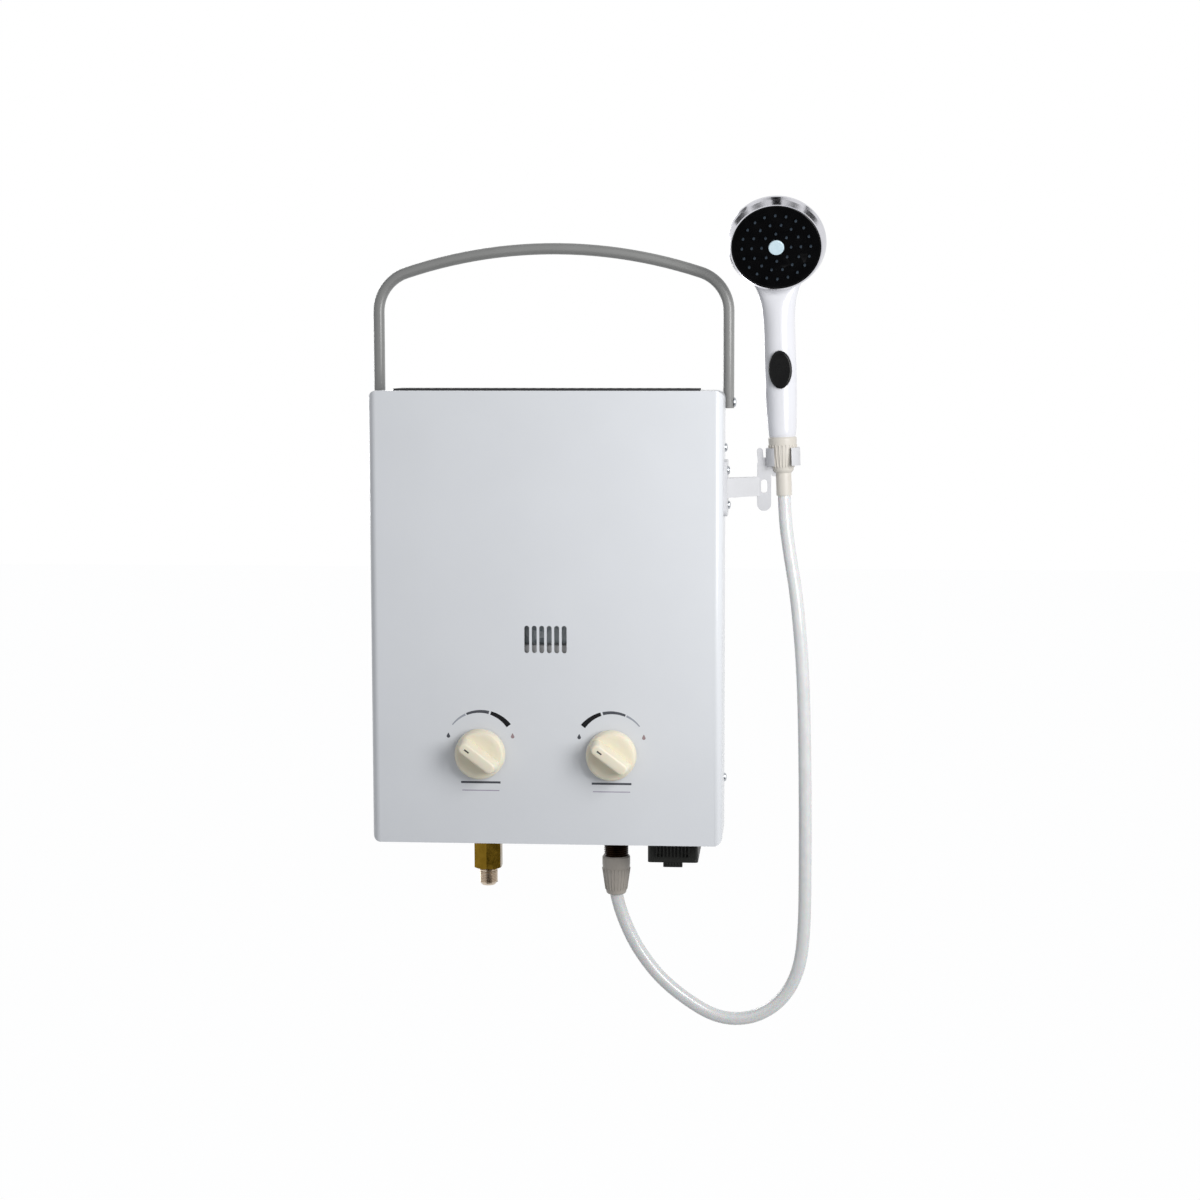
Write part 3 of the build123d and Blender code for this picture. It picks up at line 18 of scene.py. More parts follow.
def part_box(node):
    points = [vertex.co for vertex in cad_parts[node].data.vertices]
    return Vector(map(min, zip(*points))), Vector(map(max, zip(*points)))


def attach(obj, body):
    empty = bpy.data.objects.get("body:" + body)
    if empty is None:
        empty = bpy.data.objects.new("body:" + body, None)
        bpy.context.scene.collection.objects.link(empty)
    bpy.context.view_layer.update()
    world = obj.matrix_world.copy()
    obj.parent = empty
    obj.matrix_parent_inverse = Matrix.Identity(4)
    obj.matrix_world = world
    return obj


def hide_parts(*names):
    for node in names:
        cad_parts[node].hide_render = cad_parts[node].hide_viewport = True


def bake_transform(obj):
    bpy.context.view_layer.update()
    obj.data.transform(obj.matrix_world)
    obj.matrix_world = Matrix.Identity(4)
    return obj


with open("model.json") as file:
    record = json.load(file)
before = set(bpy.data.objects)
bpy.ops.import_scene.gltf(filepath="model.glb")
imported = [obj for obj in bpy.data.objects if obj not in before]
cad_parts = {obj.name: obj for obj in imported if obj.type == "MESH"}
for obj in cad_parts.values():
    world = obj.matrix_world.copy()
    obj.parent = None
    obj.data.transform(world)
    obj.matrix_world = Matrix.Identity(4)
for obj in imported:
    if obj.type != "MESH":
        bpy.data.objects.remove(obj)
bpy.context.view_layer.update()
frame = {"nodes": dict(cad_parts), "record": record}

MM = 0.001
nodes = frame["nodes"]

# %% [markdown]
# ## Helpers for objects
# A mesh, a lamp or a camera shows only when an object holds it and the scene links that object.
# A bmesh is a workbench: a finished shape is written to a mesh and the bench is cleared. Lamps
# and cards look along their own -Z axis, so they are turned until it meets their target. New
# work is placed by the middle of a CAD part's box.

# %% Object helpers
def new_object(name, data):
    """Put a mesh, curve, lamp or camera into the scene and return its object."""
    thing = bpy.data.objects.new(name, data)
    bpy.context.scene.collection.objects.link(thing)
    return thing


def mesh_of(shape, name):
    """Write a finished bmesh to a new mesh; the bmesh is used up."""
    mesh = bpy.data.meshes.new(name)
    shape.to_mesh(mesh)
    shape.free()
    return mesh


def aim(thing, place, target):
    """Stand a thing at place, with its -Z axis towards the target."""
    thing.location = place
    thing.rotation_euler = (Vector(target) - Vector(place)).to_track_quat("-Z", "Y").to_euler()


def middle(node):
    """Middle of a CAD part's box."""
    low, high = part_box(node)
    return (low + high) / 2


print("middle of the front cover in mm:", [round(x / MM) for x in middle("front_cover")])

# %% [markdown]
# ## Helpers for materials
# Colours are written as sRGB hex codes, the way a paint chart gives them, and a shader wants
# linear light, so one function converts them. A second one makes a material with an empty tree.
# A third adds a shader node: it sets the node's own properties, then fills each input with a
# value or with a link from another node.

# %% Colour and node helpers
def linear(code):
    """Turn an sRGB hex code such as "d8dade" into the linear RGBA that a shader wants."""
    channels = [int(code[i:i + 2], 16) / 255 for i in (0, 2, 4)]
    return [c / 12.92 if c <= 0.04045 else ((c + 0.055) / 1.055) ** 2.4 for c in channels] + [1.0]


def new_material(name):
    """A material with an empty node tree; both are returned."""
    material = bpy.data.materials.new(name)
    material.use_nodes = True
    material.node_tree.nodes.clear()
    return material, material.node_tree


def add_node(tree, kind, inputs=None, **properties):
    """Add one shader node; inputs are filled by name or number, with values or with sockets."""
    node = tree.nodes.new(kind)
    for name, value in properties.items():
        setattr(node, name, value)
    for key, value in (inputs or {}).items():
        if isinstance(value, bpy.types.NodeSocket):
            tree.links.new(value, node.inputs[key])
        else:
            node.inputs[key].default_value = value
    return node


print("mid grey 808080 is", round(linear("808080")[0], 3), "in linear light")

# %% [markdown]
# ## The camera
# The camera stands a little above the heater's middle and a little to its right, just under two
# metres away. The lens is a short telephoto. A small shift frames the object, and the tilt is
# only five degrees, so that upright edges stay nearly upright.

# %% Camera
CAMERA_PLACE = Vector((0.2036, -1.9150, 0.2175))
CAMERA_YAW = -0.0659         # radians to the right of straight ahead
CAMERA_PITCH = -0.0944       # radians above level
SENSOR_MM = 36.0
LENS_MM = 66.4
LENS_SHIFT = (-0.04, -0.03)  # parts of the sensor's width
CAMERA_REACH = 60.0          # metres, past the far edge of the floor

camera_data = bpy.data.cameras.new("camera")
camera_data.sensor_width = SENSOR_MM
camera_data.lens = LENS_MM
camera_data.shift_x, camera_data.shift_y = LENS_SHIFT
camera_data.clip_end = CAMERA_REACH
camera = new_object("camera", camera_data)
ahead = Vector((
    math.sin(CAMERA_YAW) * math.cos(CAMERA_PITCH),
    math.cos(CAMERA_YAW) * math.cos(CAMERA_PITCH),
    math.sin(CAMERA_PITCH),
))
camera.location = CAMERA_PLACE
camera.rotation_euler = ahead.to_track_quat("-Z", "Y").to_euler()
bpy.context.scene.camera = camera
print("camera looks along", [round(x, 3) for x in ahead])

# %% [markdown]
# ## A pale studio
# The studio has no walls. The world is white to camera, glossy and transmission rays and a
# dimmer grey to diffuse rays, so the background and the reflections are white while the object
# is lit at a plain level. The floor lies well below, because the heater hangs on its wall
# screws. It is partly matt and partly glowing, so that it stays nearly as white as the world.

# %% The world
AMBIENT = 0.43               # world strength for the light on the object
FLOOR_Z = -1.90              # metres, like the next one
FLOOR_HALF = 20.0
FLOOR_GLOW = 1.1             # strength of the glow that the camera sees
GLOW_SHARE = 0.85            # the rest is the matt paint

bpy.context.scene.view_settings.view_transform = "Standard"


def seen_directly(tree):
    """1 for camera, glossy and transmission rays, 0 for the light that falls on the object."""
    path = add_node(tree, "ShaderNodeLightPath").outputs
    either = add_node(tree, "ShaderNodeMath", {0: path["Is Camera Ray"], 1: path["Is Glossy Ray"]},
                      operation="MAXIMUM")
    return add_node(tree, "ShaderNodeMath",
                    {0: either.outputs[0], 1: path["Is Transmission Ray"]},
                    operation="MAXIMUM").outputs[0]


world = bpy.data.worlds.new("studio")
bpy.context.scene.world = world
world.use_nodes = True
sky = world.node_tree
sky.nodes.clear()
ambient = add_node(sky, "ShaderNodeBackground", {"Color": linear("f7faff"), "Strength": AMBIENT})
white = add_node(sky, "ShaderNodeBackground", {"Color": linear("ffffff"), "Strength": 1.0})
mixed = add_node(sky, "ShaderNodeMixShader", {0: seen_directly(sky), 1: ambient.outputs[0],
                                              2: white.outputs[0]})
add_node(sky, "ShaderNodeOutputWorld", {"Surface": mixed.outputs[0]})
print("world:", len(sky.nodes), "nodes")

# %% The floor
floor_shape = bmesh.new()
bmesh.ops.create_grid(floor_shape, x_segments=2, y_segments=2, size=FLOOR_HALF,
                      matrix=Matrix.Translation((0, 0, FLOOR_Z)))
floor = new_object("floor", mesh_of(floor_shape, "floor"))
floor_paint, tree = new_material("matt_white_floor")
matt = add_node(tree, "ShaderNodeBsdfDiffuse", {"Color": linear("f2f2f2")})
glow = add_node(tree, "ShaderNodeEmission", {"Color": linear("ffffff"), "Strength": FLOOR_GLOW})
share = add_node(tree, "ShaderNodeMath", {0: seen_directly(tree), 1: GLOW_SHARE},
                 operation="MULTIPLY")
mixed = add_node(tree, "ShaderNodeMixShader", {0: share.outputs[0], 1: matt.outputs[0],
                                               2: glow.outputs[0]})
add_node(tree, "ShaderNodeOutputMaterial", {"Surface": mixed.outputs[0]})
floor.data.materials.append(floor_paint)
print("floor:", 2 * FLOOR_HALF, "m wide, at", FLOOR_Z, "m")

# %% Soft boxes
def soft_box(name, place, target, size, power):
    """An area lamp at place that faces target; size in metres and power in watts."""
    lamp = bpy.data.lights.new(name, "AREA")
    lamp.shape = "RECTANGLE"
    lamp.size, lamp.size_y = size
    lamp.energy = power
    aim(new_object(name, lamp), place, target)


soft_box("key", (0.75, -0.85, 0.30), (0.05, -0.1, 0.02), (0.45, 0.7), 9.9)
soft_box("rear", (-0.8, 1.35, 0.45), (0.0, -0.05, 0.0), (1.0, 1.0), 10.0)

# %% [markdown]
# ## Dark cards
# Polished chrome shows only what stands round it, and in an all-white studio it would vanish.
# So black cards stand round the hand shower's rim. They are seen by reflections alone.

# %% Cards for the chrome rim
card_black, tree = new_material("black_felt_card")
felt = add_node(tree, "ShaderNodeBsdfDiffuse", {"Color": linear("141416")})
add_node(tree, "ShaderNodeOutputMaterial", {"Surface": felt.outputs[0]})


def dark_card(name, place, target, width, height):
    """A dark panel that only reflections see; all measures in metres."""
    shape = bmesh.new()
    bmesh.ops.create_grid(shape, x_segments=1, y_segments=1, size=0.5,
                          matrix=Matrix.Diagonal((width, height, 1, 1)))
    card = new_object(name, mesh_of(shape, name))
    aim(card, place, target)
    card.visible_camera = False
    card.visible_diffuse = False
    card.visible_shadow = False
    card.data.materials.append(card_black)


head = middle("spray_head_rim")
dark_card("card_above", head + Vector((0.01, -0.12, 0.95)), head, 0.24, 0.7)
for side in (-1, 1):
    dark_card("card_strip", head + Vector((side * 0.36, -0.03, 0.88)), head, 0.09, 0.7)
    dark_card("card_side", head + Vector((side * 0.80, 0.22, 0.52)), head, 0.22, 0.45)
dark_card("card_low", head + Vector((0.02, -0.60, -0.72)), head, 1.1, 0.62)
dark_card("card_front", head + Vector((0.07, -1.10, -0.06)), head + Vector((0.07, 0, -0.06)),
          0.17, 0.40)

# %% [markdown]
# ## The hose
# A shower hose is a soft vinyl tube of 11 mm. It leaves the outlet nut straight down, sags into
# one loop under its own weight and climbs to the slim neck of the hand shower's nut. Its line is
# a NURBS curve, whose control points pull it without kinks.

# %% Hose
HOSE_DIAMETER = 11.0 * MM
GRIP_TILT = math.radians(2.1)
grip_axis = Vector((-math.sin(GRIP_TILT), 0.0, math.cos(GRIP_TILT)))
grip_foot = Vector((0.1948, -0.060, 0.120))
FERRULE = 20.0 * MM          # slim neck of the hand shower's nut
STRAIGHT_END = 20.0 * MM     # of the hose, before the neck
hose_end = grip_foot - grip_axis * FERRULE
hose_route = [
    (0.054, -0.060, -0.2415),
    (0.0559, -0.0602, -0.2505),
    (0.0605, -0.0605, -0.264),
    (0.0675, -0.061, -0.280),
    (0.0775, -0.0617, -0.2965),
    (0.0930, -0.063, -0.3155),
    (0.1145, -0.0645, -0.3325),
    (0.1385, -0.066, -0.3463),
    (0.1625, -0.067, -0.3486),
    (0.1845, -0.0675, -0.3405),
    (0.2015, -0.0675, -0.324),
    (0.2115, -0.067, -0.3005),
    (0.2148, -0.066, -0.268),
    (0.2152, -0.065, -0.222),
    (0.2146, -0.0635, -0.135),
    (0.2125, -0.062, -0.050),
    (0.2065, -0.061, 0.015),
    (0.2005, -0.0604, 0.050),
    tuple(hose_end - grip_axis * STRAIGHT_END),
    tuple(hose_end),
]
hose_line = bpy.data.curves.new("shower_hose_tube", "CURVE")
hose_line.dimensions = "3D"
hose_line.bevel_depth = 1.0    # times the radius of each point
hose_line.bevel_resolution = 8
hose_line.resolution_u = 10
hose_line.use_fill_caps = True
strand = hose_line.splines.new("NURBS")
strand.points.add(len(hose_route) - 1)
for point, place in zip(strand.points, hose_route):
    point.co = (*place, 1.0)
    point.radius = HOSE_DIAMETER / 2
strand.order_u = 3
strand.use_endpoint_u = True
hose = new_object("shower_hose_tube", hose_line)
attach(hose, "casing")
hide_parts("shower_hose")
print("hose points:", len(hose_route), " measured length in mm:",
      round(strand.calc_length() / MM, 1))

# %% [markdown]
# ## Finishes
# Every finish is built on one recipe. Two close colours drift into each other in soft patches, a
# fine grain lifts the surface by hundredths of a millimetre, and the roughness follows the
# patches a little. What makes powder coat differ from brass or nylon is the size of these
# patterns, the gloss, and whether the surface is a metal. All pattern sizes are real ones in mm.

# %% The common recipe
NOISE_LOW, NOISE_HIGH = 0.3, 0.7    # a noise pattern seldom leaves this range
finishes = {}                # the material of each slot


def finish(slot, name, light, dark, roughness, metallic=0.0, patch=25.0, grain=1.0,
           lift=0.02, drift=0.06, stretch=(1, 1, 1), **sockets):
    """The material of a slot; patch and grain are pattern sizes and lift a height, in mm."""
    material, tree = new_material(name)
    place = add_node(tree, "ShaderNodeTexCoord").outputs["Object"]
    drawn = add_node(tree, "ShaderNodeMapping", {"Vector": place, "Scale": stretch}).outputs[0]
    patches = add_node(tree, "ShaderNodeTexNoise",
                       {"Vector": place, "Scale": 1 / (patch * MM), "Detail": 4.0})
    colour = add_node(tree, "ShaderNodeMix",
                      {0: patches.outputs[0], 6: linear(dark), 7: linear(light)},
                      data_type="RGBA")
    gloss = add_node(tree, "ShaderNodeMapRange",
                     {0: patches.outputs[0], 1: NOISE_LOW, 2: NOISE_HIGH,
                      3: roughness - drift / 2, 4: roughness + drift / 2})
    fine = add_node(tree, "ShaderNodeTexNoise",
                    {"Vector": drawn, "Scale": 1 / (grain * MM), "Detail": 3.0})
    bump = add_node(tree, "ShaderNodeBump",
                    {"Height": fine.outputs[0], "Distance": lift * MM, "Strength": 1.0})
    shader = add_node(tree, "ShaderNodeBsdfPrincipled",
                      {"Base Color": colour.outputs[2], "Roughness": gloss.outputs[0],
                       "Metallic": metallic, "Normal": bump.outputs[0], **sockets})
    add_node(tree, "ShaderNodeOutputMaterial", {"Surface": shader.outputs[0]})
    finishes[slot] = material

# %% [markdown]
# ## Painted sheet metal
# Powder coat is sprayed on dry and melted, which leaves a faint orange peel about a millimetre
# wide and a soft, even gloss. The case is a cool grey-white. The bail wears a mid grey coat, and
# the grille over the flue has a matt heat-proof paint with a dusty look.

# %% Paints
finish("cover_enamel", "powder_coat_white", "dcdee1", "d6d8db", 0.34, patch=60, grain=1.1,
       lift=0.012, **{"Coat Weight": 0.25, "Coat Roughness": 0.18})
finish("chassis_enamel", "powder_coat_white_back", "dadcdf", "d3d5d8", 0.38, patch=60, grain=1.1,
       lift=0.014, **{"Coat Weight": 0.2, "Coat Roughness": 0.2})
finish("bail_coat", "powder_coat_grey", "8a8a88", "7f7f7d", 0.36, patch=30, grain=0.9, lift=0.018,
       **{"Coat Weight": 0.2, "Coat Roughness": 0.25})
finish("grille_steel", "heatproof_black_paint", "2b2b2d", "1e1e20", 0.72, patch=18, grain=0.5,
       lift=0.03)
print("paints:", sorted(finishes))

# %% [markdown]
# ## Plated and bare metals
# Zinc plate is bluish and fairly bright. Galvanised sheet shows spangles, flat crystals about
# 8 mm wide. Copper darkens in patches from heat. Turned brass and steel have fine rings from the
# tool, and castings are grainy. Chrome on the plastic spray head is bright but a little soft.

# %% Metals
finish("zinc_screws", "zinc_plate", "c9ccd0", "a9adb3", 0.30, 1.0, patch=4, grain=0.3, lift=0.008)
finish("copper", "heat_tinted_copper", "c9784f", "8a4a32", 0.34, 1.0, patch=22, grain=0.8,
       lift=0.015, drift=0.16)
finish("stainless_burner", "pressed_stainless", "b9b4ab", "8f877b", 0.33, 1.0, patch=14, grain=0.7,
       lift=0.01, stretch=(1, 1, 12))
finish("cast_aluminium", "die_cast_aluminium", "b4b5b6", "9a9b9c", 0.52, 1.0, patch=16, grain=0.9,
       lift=0.05)
finish("brass_body", "hot_pressed_brass", "c9a052", "a57d38", 0.38, 1.0, patch=10, grain=0.6,
       lift=0.03, drift=0.12)
finish("steel_stem", "turned_steel", "b8b9bb", "9c9da0", 0.28, 1.0, patch=5, grain=0.35, lift=0.006,
       stretch=(1, 8, 1))
finish("spring_steel", "oiled_spring_wire", "8d8e91", "6f7073", 0.3, 1.0, patch=3, grain=0.3,
       lift=0.005)
finish("gas_brass", "turned_brass", "8d7026", "554008", 0.26, 1.0, patch=7, grain=0.4, lift=0.008,
       drift=0.14, stretch=(1, 1, 6))
finish("nickel_plate", "satin_nickel_plate", "d9ccba", "b5a593", 0.30, 1.0, patch=5, grain=0.4,
       lift=0.006, stretch=(1, 1, 6))
# The hot fitting's dark brown is painted shade: brass darkened the way it looks in the shade of its
# hose nut.
finish("dark_fitting", "brass_darkened_as_painted_shade", "3b2c22", "20160f", 0.42, 1.0, patch=6, grain=0.5,
       lift=0.02)
finish("plated_rim", "chromed_plastic", "dcdce1", "c8c8ce", 0.17, 1.0, patch=15, grain=2.0,
       lift=0.004, drift=0.03)
print("with the metals:", len(finishes), "finishes")

# %% Galvanised sheet, with its spangles
def galvanised(name, spangle):
    """Zinc crystals of the given width in mm, each of its own shade and gloss."""
    material, tree = new_material(name)
    place = add_node(tree, "ShaderNodeTexCoord").outputs["Object"]
    crystals = add_node(tree, "ShaderNodeTexVoronoi",
                        {"Vector": place, "Scale": 1 / (spangle * MM)})
    shade = add_node(tree, "ShaderNodeSeparateColor", {0: crystals.outputs["Color"]}).outputs[0]
    colour = add_node(tree, "ShaderNodeMix",
                      {0: shade, 6: linear("70777c"), 7: linear("a3a9ad")}, data_type="RGBA")
    gloss = add_node(tree, "ShaderNodeMapRange", {0: shade, 3: 0.34, 4: 0.5})
    shader = add_node(tree, "ShaderNodeBsdfPrincipled",
                      {"Base Color": colour.outputs[2], "Roughness": gloss.outputs[0],
                       "Metallic": 1.0})
    add_node(tree, "ShaderNodeOutputMaterial", {"Surface": shader.outputs[0]})
    return material


finishes["galvanised_sheet"] = galvanised("galvanised_sheet", spangle=8.0)
print("with the galvanised sheet:", len(finishes), "finishes")

# %% [markdown]
# ## Plastics, rubber and porcelain
# Moulded plastic copies its steel mould: a fine spark-eroded texture on the battery box, a near
# polish on the knobs and the hand shower. Ivory ABS lets a little light in, which softens its
# shadows, and so does the vinyl of the hose.

# %% Mouldings
finish("knob_plastic", "ivory_abs", "ebe4cf", "e4dcc5", 0.34, patch=12, grain=0.6, lift=0.006,
       **{"Subsurface Weight": 0.2, "Subsurface Scale": 0.002})
finish("battery_plastic", "black_abs_textured", "1f201e", "161714", 0.5, patch=14, grain=0.35,
       lift=0.03, **{"Specular IOR Level": 0.3})
finish("inner_plastic", "black_nylon", "303236", "26282b", 0.55, patch=14, grain=0.5, lift=0.02)
finish("nylon_washer", "natural_nylon", "e2dfd3", "d6d2c4", 0.5, patch=5, grain=0.5)
finish("nut_grey", "warm_grey_nylon", "b0a9a0", "9f988f", 0.42, patch=9, grain=0.5, lift=0.012)
finish("nut_beige", "beige_nylon", "d3cec5", "c8c2b8", 0.42, patch=9, grain=0.5, lift=0.012)
finish("handset_plastic", "pale_grey_abs", "dddde1", "d6d6da", 0.2, patch=30, grain=1.5, lift=0.004,
       **{"Coat Weight": 0.4, "Coat Roughness": 0.08})
finish("holder_plastic", "white_abs", "cfcfd1", "c5c5c7", 0.3, patch=12, grain=0.7, lift=0.008)
finish("spray_black", "black_abs_gloss", "080809", "050506", 0.26, patch=10, grain=0.8, lift=0.006,
       **{"Specular IOR Level": 0.2})
finish("cap_pale", "pale_blue_abs", "cfe2ea", "bdd4de", 0.25, patch=4, grain=0.5, lift=0.006)
finish("nozzle_grey", "slate_silicone", "303c47", "222b34", 0.45, patch=3, grain=0.4, lift=0.01)
finish("black_rubber", "black_rubber", "2b2b2b", "202020", 0.75, patch=6, grain=0.6, lift=0.03)
finish("electrode_porcelain", "glazed_porcelain", "f0eee6", "e6e3d8", 0.12, patch=6, grain=2.0,
       lift=0.01)
finish("wire_sleeve", "red_silicone_sleeve", "9c3428", "7c2a20", 0.55, patch=6, grain=0.5,
       lift=0.02)
finish("filter_mesh", "fine_nylon_mesh", "e6e6e4", "b8b8b4", 0.6, patch=1.2, grain=0.5, lift=0.1)
finish("battery_wrap", "cell_wrapper_foil", "4a4c50", "2e3034", 0.35, 0.6, patch=20, grain=1.0,
       lift=0.005)
finish("clear_pvc", "soft_clear_vinyl", "dddddc", "cbcdcd", 0.24, patch=7, grain=2.5, lift=0.01,
       stretch=(1, 1, 0.25), **{"Subsurface Weight": 0.2, "Subsurface Scale": 0.003,
       "Coat Weight": 0.3, "Coat Roughness": 0.1})
hose.data.materials.append(finishes["clear_pvc"])
print("finishes:", len(finishes))

# %% [markdown]
# ## Dressing the CAD parts
# The record says which finish slot each part belongs to, so one loop dresses all of them. Real
# edges are never razor sharp: sheet is deburred and mouldings have a radius. A Weld modifier
# joins the loose triangles, a planar Decimate turns flat areas into single faces, and a Bevel
# rounds what is left, without touching the CAD mesh itself.

# %% Finishes and soft edges for the CAD parts
SAME_POINT = 0.002 * MM      # corners closer than this are one
FLAT_WITHIN = math.radians(0.6)
SHARP_FROM = math.radians(32)
EDGE_WIDTH = {"painted_metal": 0.35, "matte_plastic": 0.35, "gloss_plastic": 0.4, "brass": 0.3,
              "aluminium": 0.5, "brushed_steel": 0.2}    # mm, for each class of material
TOO_FINE = {"return_spring", "spray_nozzles", "heat_exchanger_fins", "burner_bars"}
classes = {m["slot"]: m["class"] for m in frame["record"]["materials"]}


def round_edges(node, width):
    """Round a CAD part's sharp edges by width in mm, with modifiers only."""
    weld = node.modifiers.new("weld", "WELD")
    weld.merge_threshold = SAME_POINT
    flat = node.modifiers.new("flat faces", "DECIMATE")
    flat.decimate_type = "DISSOLVE"
    flat.angle_limit = FLAT_WITHIN
    bevel = node.modifiers.new("soft edges", "BEVEL")
    bevel.width = width * MM
    bevel.segments = 2
    bevel.limit_method = "ANGLE"
    bevel.angle_limit = SHARP_FROM
    bevel.harden_normals = False
    bevel.use_clamp_overlap = True


for part in frame["record"]["subparts"]:
    node = nodes[part["node"]]
    node.data.materials.clear()
    node.data.materials.append(finishes[part["material_slot"]])
    width = EDGE_WIDTH.get(classes[part["material_slot"]])
    if width and part["node"] not in TOO_FINE:
        round_edges(node, width)

# %% [markdown]
# ## Tools for new pieces
# The pieces that want finer modelling are made with bmesh operators. Lathe work is a half
# profile spun round an axis, a bar is a cube drawn to size, edges are softened by a bevel, and
# two shells are joined or cut by the exact Boolean. A finished piece rides on a body of the
# frame when one is given.

# %% Shapes and edges
def turned(profile, steps):
    """Spin (radius, height) points in mm round Z, as on a lathe; ends at radius 0 close it."""
    shape = bmesh.new()
    rim = [shape.verts.new((radius * MM, 0, height * MM)) for radius, height in profile]
    chain = [shape.edges.new(pair) for pair in zip(rim, rim[1:])]
    bmesh.ops.spin(shape, geom=rim + chain, cent=(0, 0, 0), axis=(0, 0, 1), angle=2 * math.pi,
                   steps=steps, use_merge=True)
    bmesh.ops.remove_doubles(shape, verts=shape.verts, dist=SAME_POINT)
    bmesh.ops.recalc_face_normals(shape, faces=shape.faces)
    return shape


def move(shape, matrix):
    """Turn, move or stretch a whole shape."""
    bmesh.ops.transform(shape, matrix=matrix, verts=shape.verts)


def brick(shape, length, width, height):
    """A bar round the origin, its sizes along X, Y and Z in mm; returns its corners."""
    corners = bmesh.ops.create_cube(shape, size=1.0)["verts"]
    bmesh.ops.scale(shape, vec=(length * MM, width * MM, height * MM), verts=corners)
    return corners


def round_over(shape, edges, width, segments, clamp=False):
    """Bevel some edges by width in mm; clamp keeps neighbouring bevels from crossing."""
    bmesh.ops.bevel(shape, geom=edges, offset=width * MM, offset_type="OFFSET", affect="EDGES",
                    segments=segments, profile=0.5, material=-1, clamp_overlap=clamp)


def sharp_edges(shape, degrees):
    """Edges whose two faces turn by more than the given angle."""
    return [e for e in shape.edges
            if len(e.link_faces) == 2 and e.calc_face_angle() > math.radians(degrees)]


def soften(shape, width, segments):
    """Round every sharp edge of a shape by width in mm."""
    round_over(shape, sharp_edges(shape, 35), width, segments, clamp=True)


# %% Shells and pieces
SLIVER = 0.003 * MM          # a Boolean leaves crumbs smaller than this


def evaluated_mesh(thing):
    """A new mesh of an object, as its modifiers or its curve bevel shape it."""
    depsgraph = bpy.context.evaluated_depsgraph_get()
    return bpy.data.meshes.new_from_object(thing.evaluated_get(depsgraph))


def add_shell(shape, part):
    """Copy one bmesh into another as a separate shell; the first is used up."""
    mesh = mesh_of(part, "shell")
    shape.from_mesh(mesh)
    bpy.data.meshes.remove(mesh)


def combine(shape, tool, operation="UNION"):
    """Join, cut or intersect two closed shells with the exact Boolean; both are used up."""
    pair = []
    for part in (shape, tool):
        bmesh.ops.recalc_face_normals(part, faces=part.faces)
        pair.append(new_object("shell", mesh_of(part, "shell")))
    boolean = pair[0].modifiers.new("combine", "BOOLEAN")
    boolean.operation = operation
    boolean.solver = "EXACT"
    boolean.object = pair[1]
    result = bmesh.new()
    result.from_mesh(evaluated_mesh(pair[0]))
    for part in pair:
        bpy.data.objects.remove(part)
    bmesh.ops.remove_doubles(result, verts=result.verts, dist=SLIVER)
    bmesh.ops.dissolve_degenerate(result, dist=SLIVER, edges=result.edges)
    return result


def make_piece(shape, name, slot, body, replaces=(), smooth=35):
    """Turn a finished bmesh into a named piece that rides on a body, if one is given."""
    bmesh.ops.recalc_face_normals(shape, faces=shape.faces)
    mesh = mesh_of(shape, name)
    mesh.shade_smooth()
    mesh.set_sharp_from_angle(angle=math.radians(smooth))
    mesh.materials.append(finishes[slot])
    piece = new_object(name, mesh)
    if body:
        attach(piece, body)
    if replaces:
        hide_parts(*replaces)
    print(name, "has", len(mesh.polygons), "faces")
    return piece


# %% [markdown]
# ## Knobs
# Each knob is an ivory moulding: a round base with a rolled rim, and a grip bar across it that
# points up and to the left when the heater is off. The base is turned, the bar starts as a cube
# whose upright edges become half round, and the top is drawn in a little so that it would leave
# its mould. Near one end a thin dark plate stands for the notch that shows where the knob points:
# its dark colour is painted shade, the shade inside that notch.

# %% Knobs
FACE_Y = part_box("front_cover")[0].y
KNOB_RADIUS = 21.0
KNOB_DEEP = 24.0             # from the case to the top of the grip bar
GRIP_BAR = (39.0, 12.6, 18.0)
BAR_DRAFT = (0.88, 0.74, 1.0)    # size of the bar's top, in parts of its foot
NOTCH = (4.6, 1.3, 0.3)
STEM_BORE = 4.02             # radius, a little more than the stem's
POINTER = math.radians(143)  # grip bar's direction, anticlockwise from +X
# painted shade: this dark grey-brown stands for the shade inside the pointer notch
finish("painted_notch_shade", "painted_notch_shade_finish", "4a4740", "3a3833", 0.6, patch=3, grain=0.4)


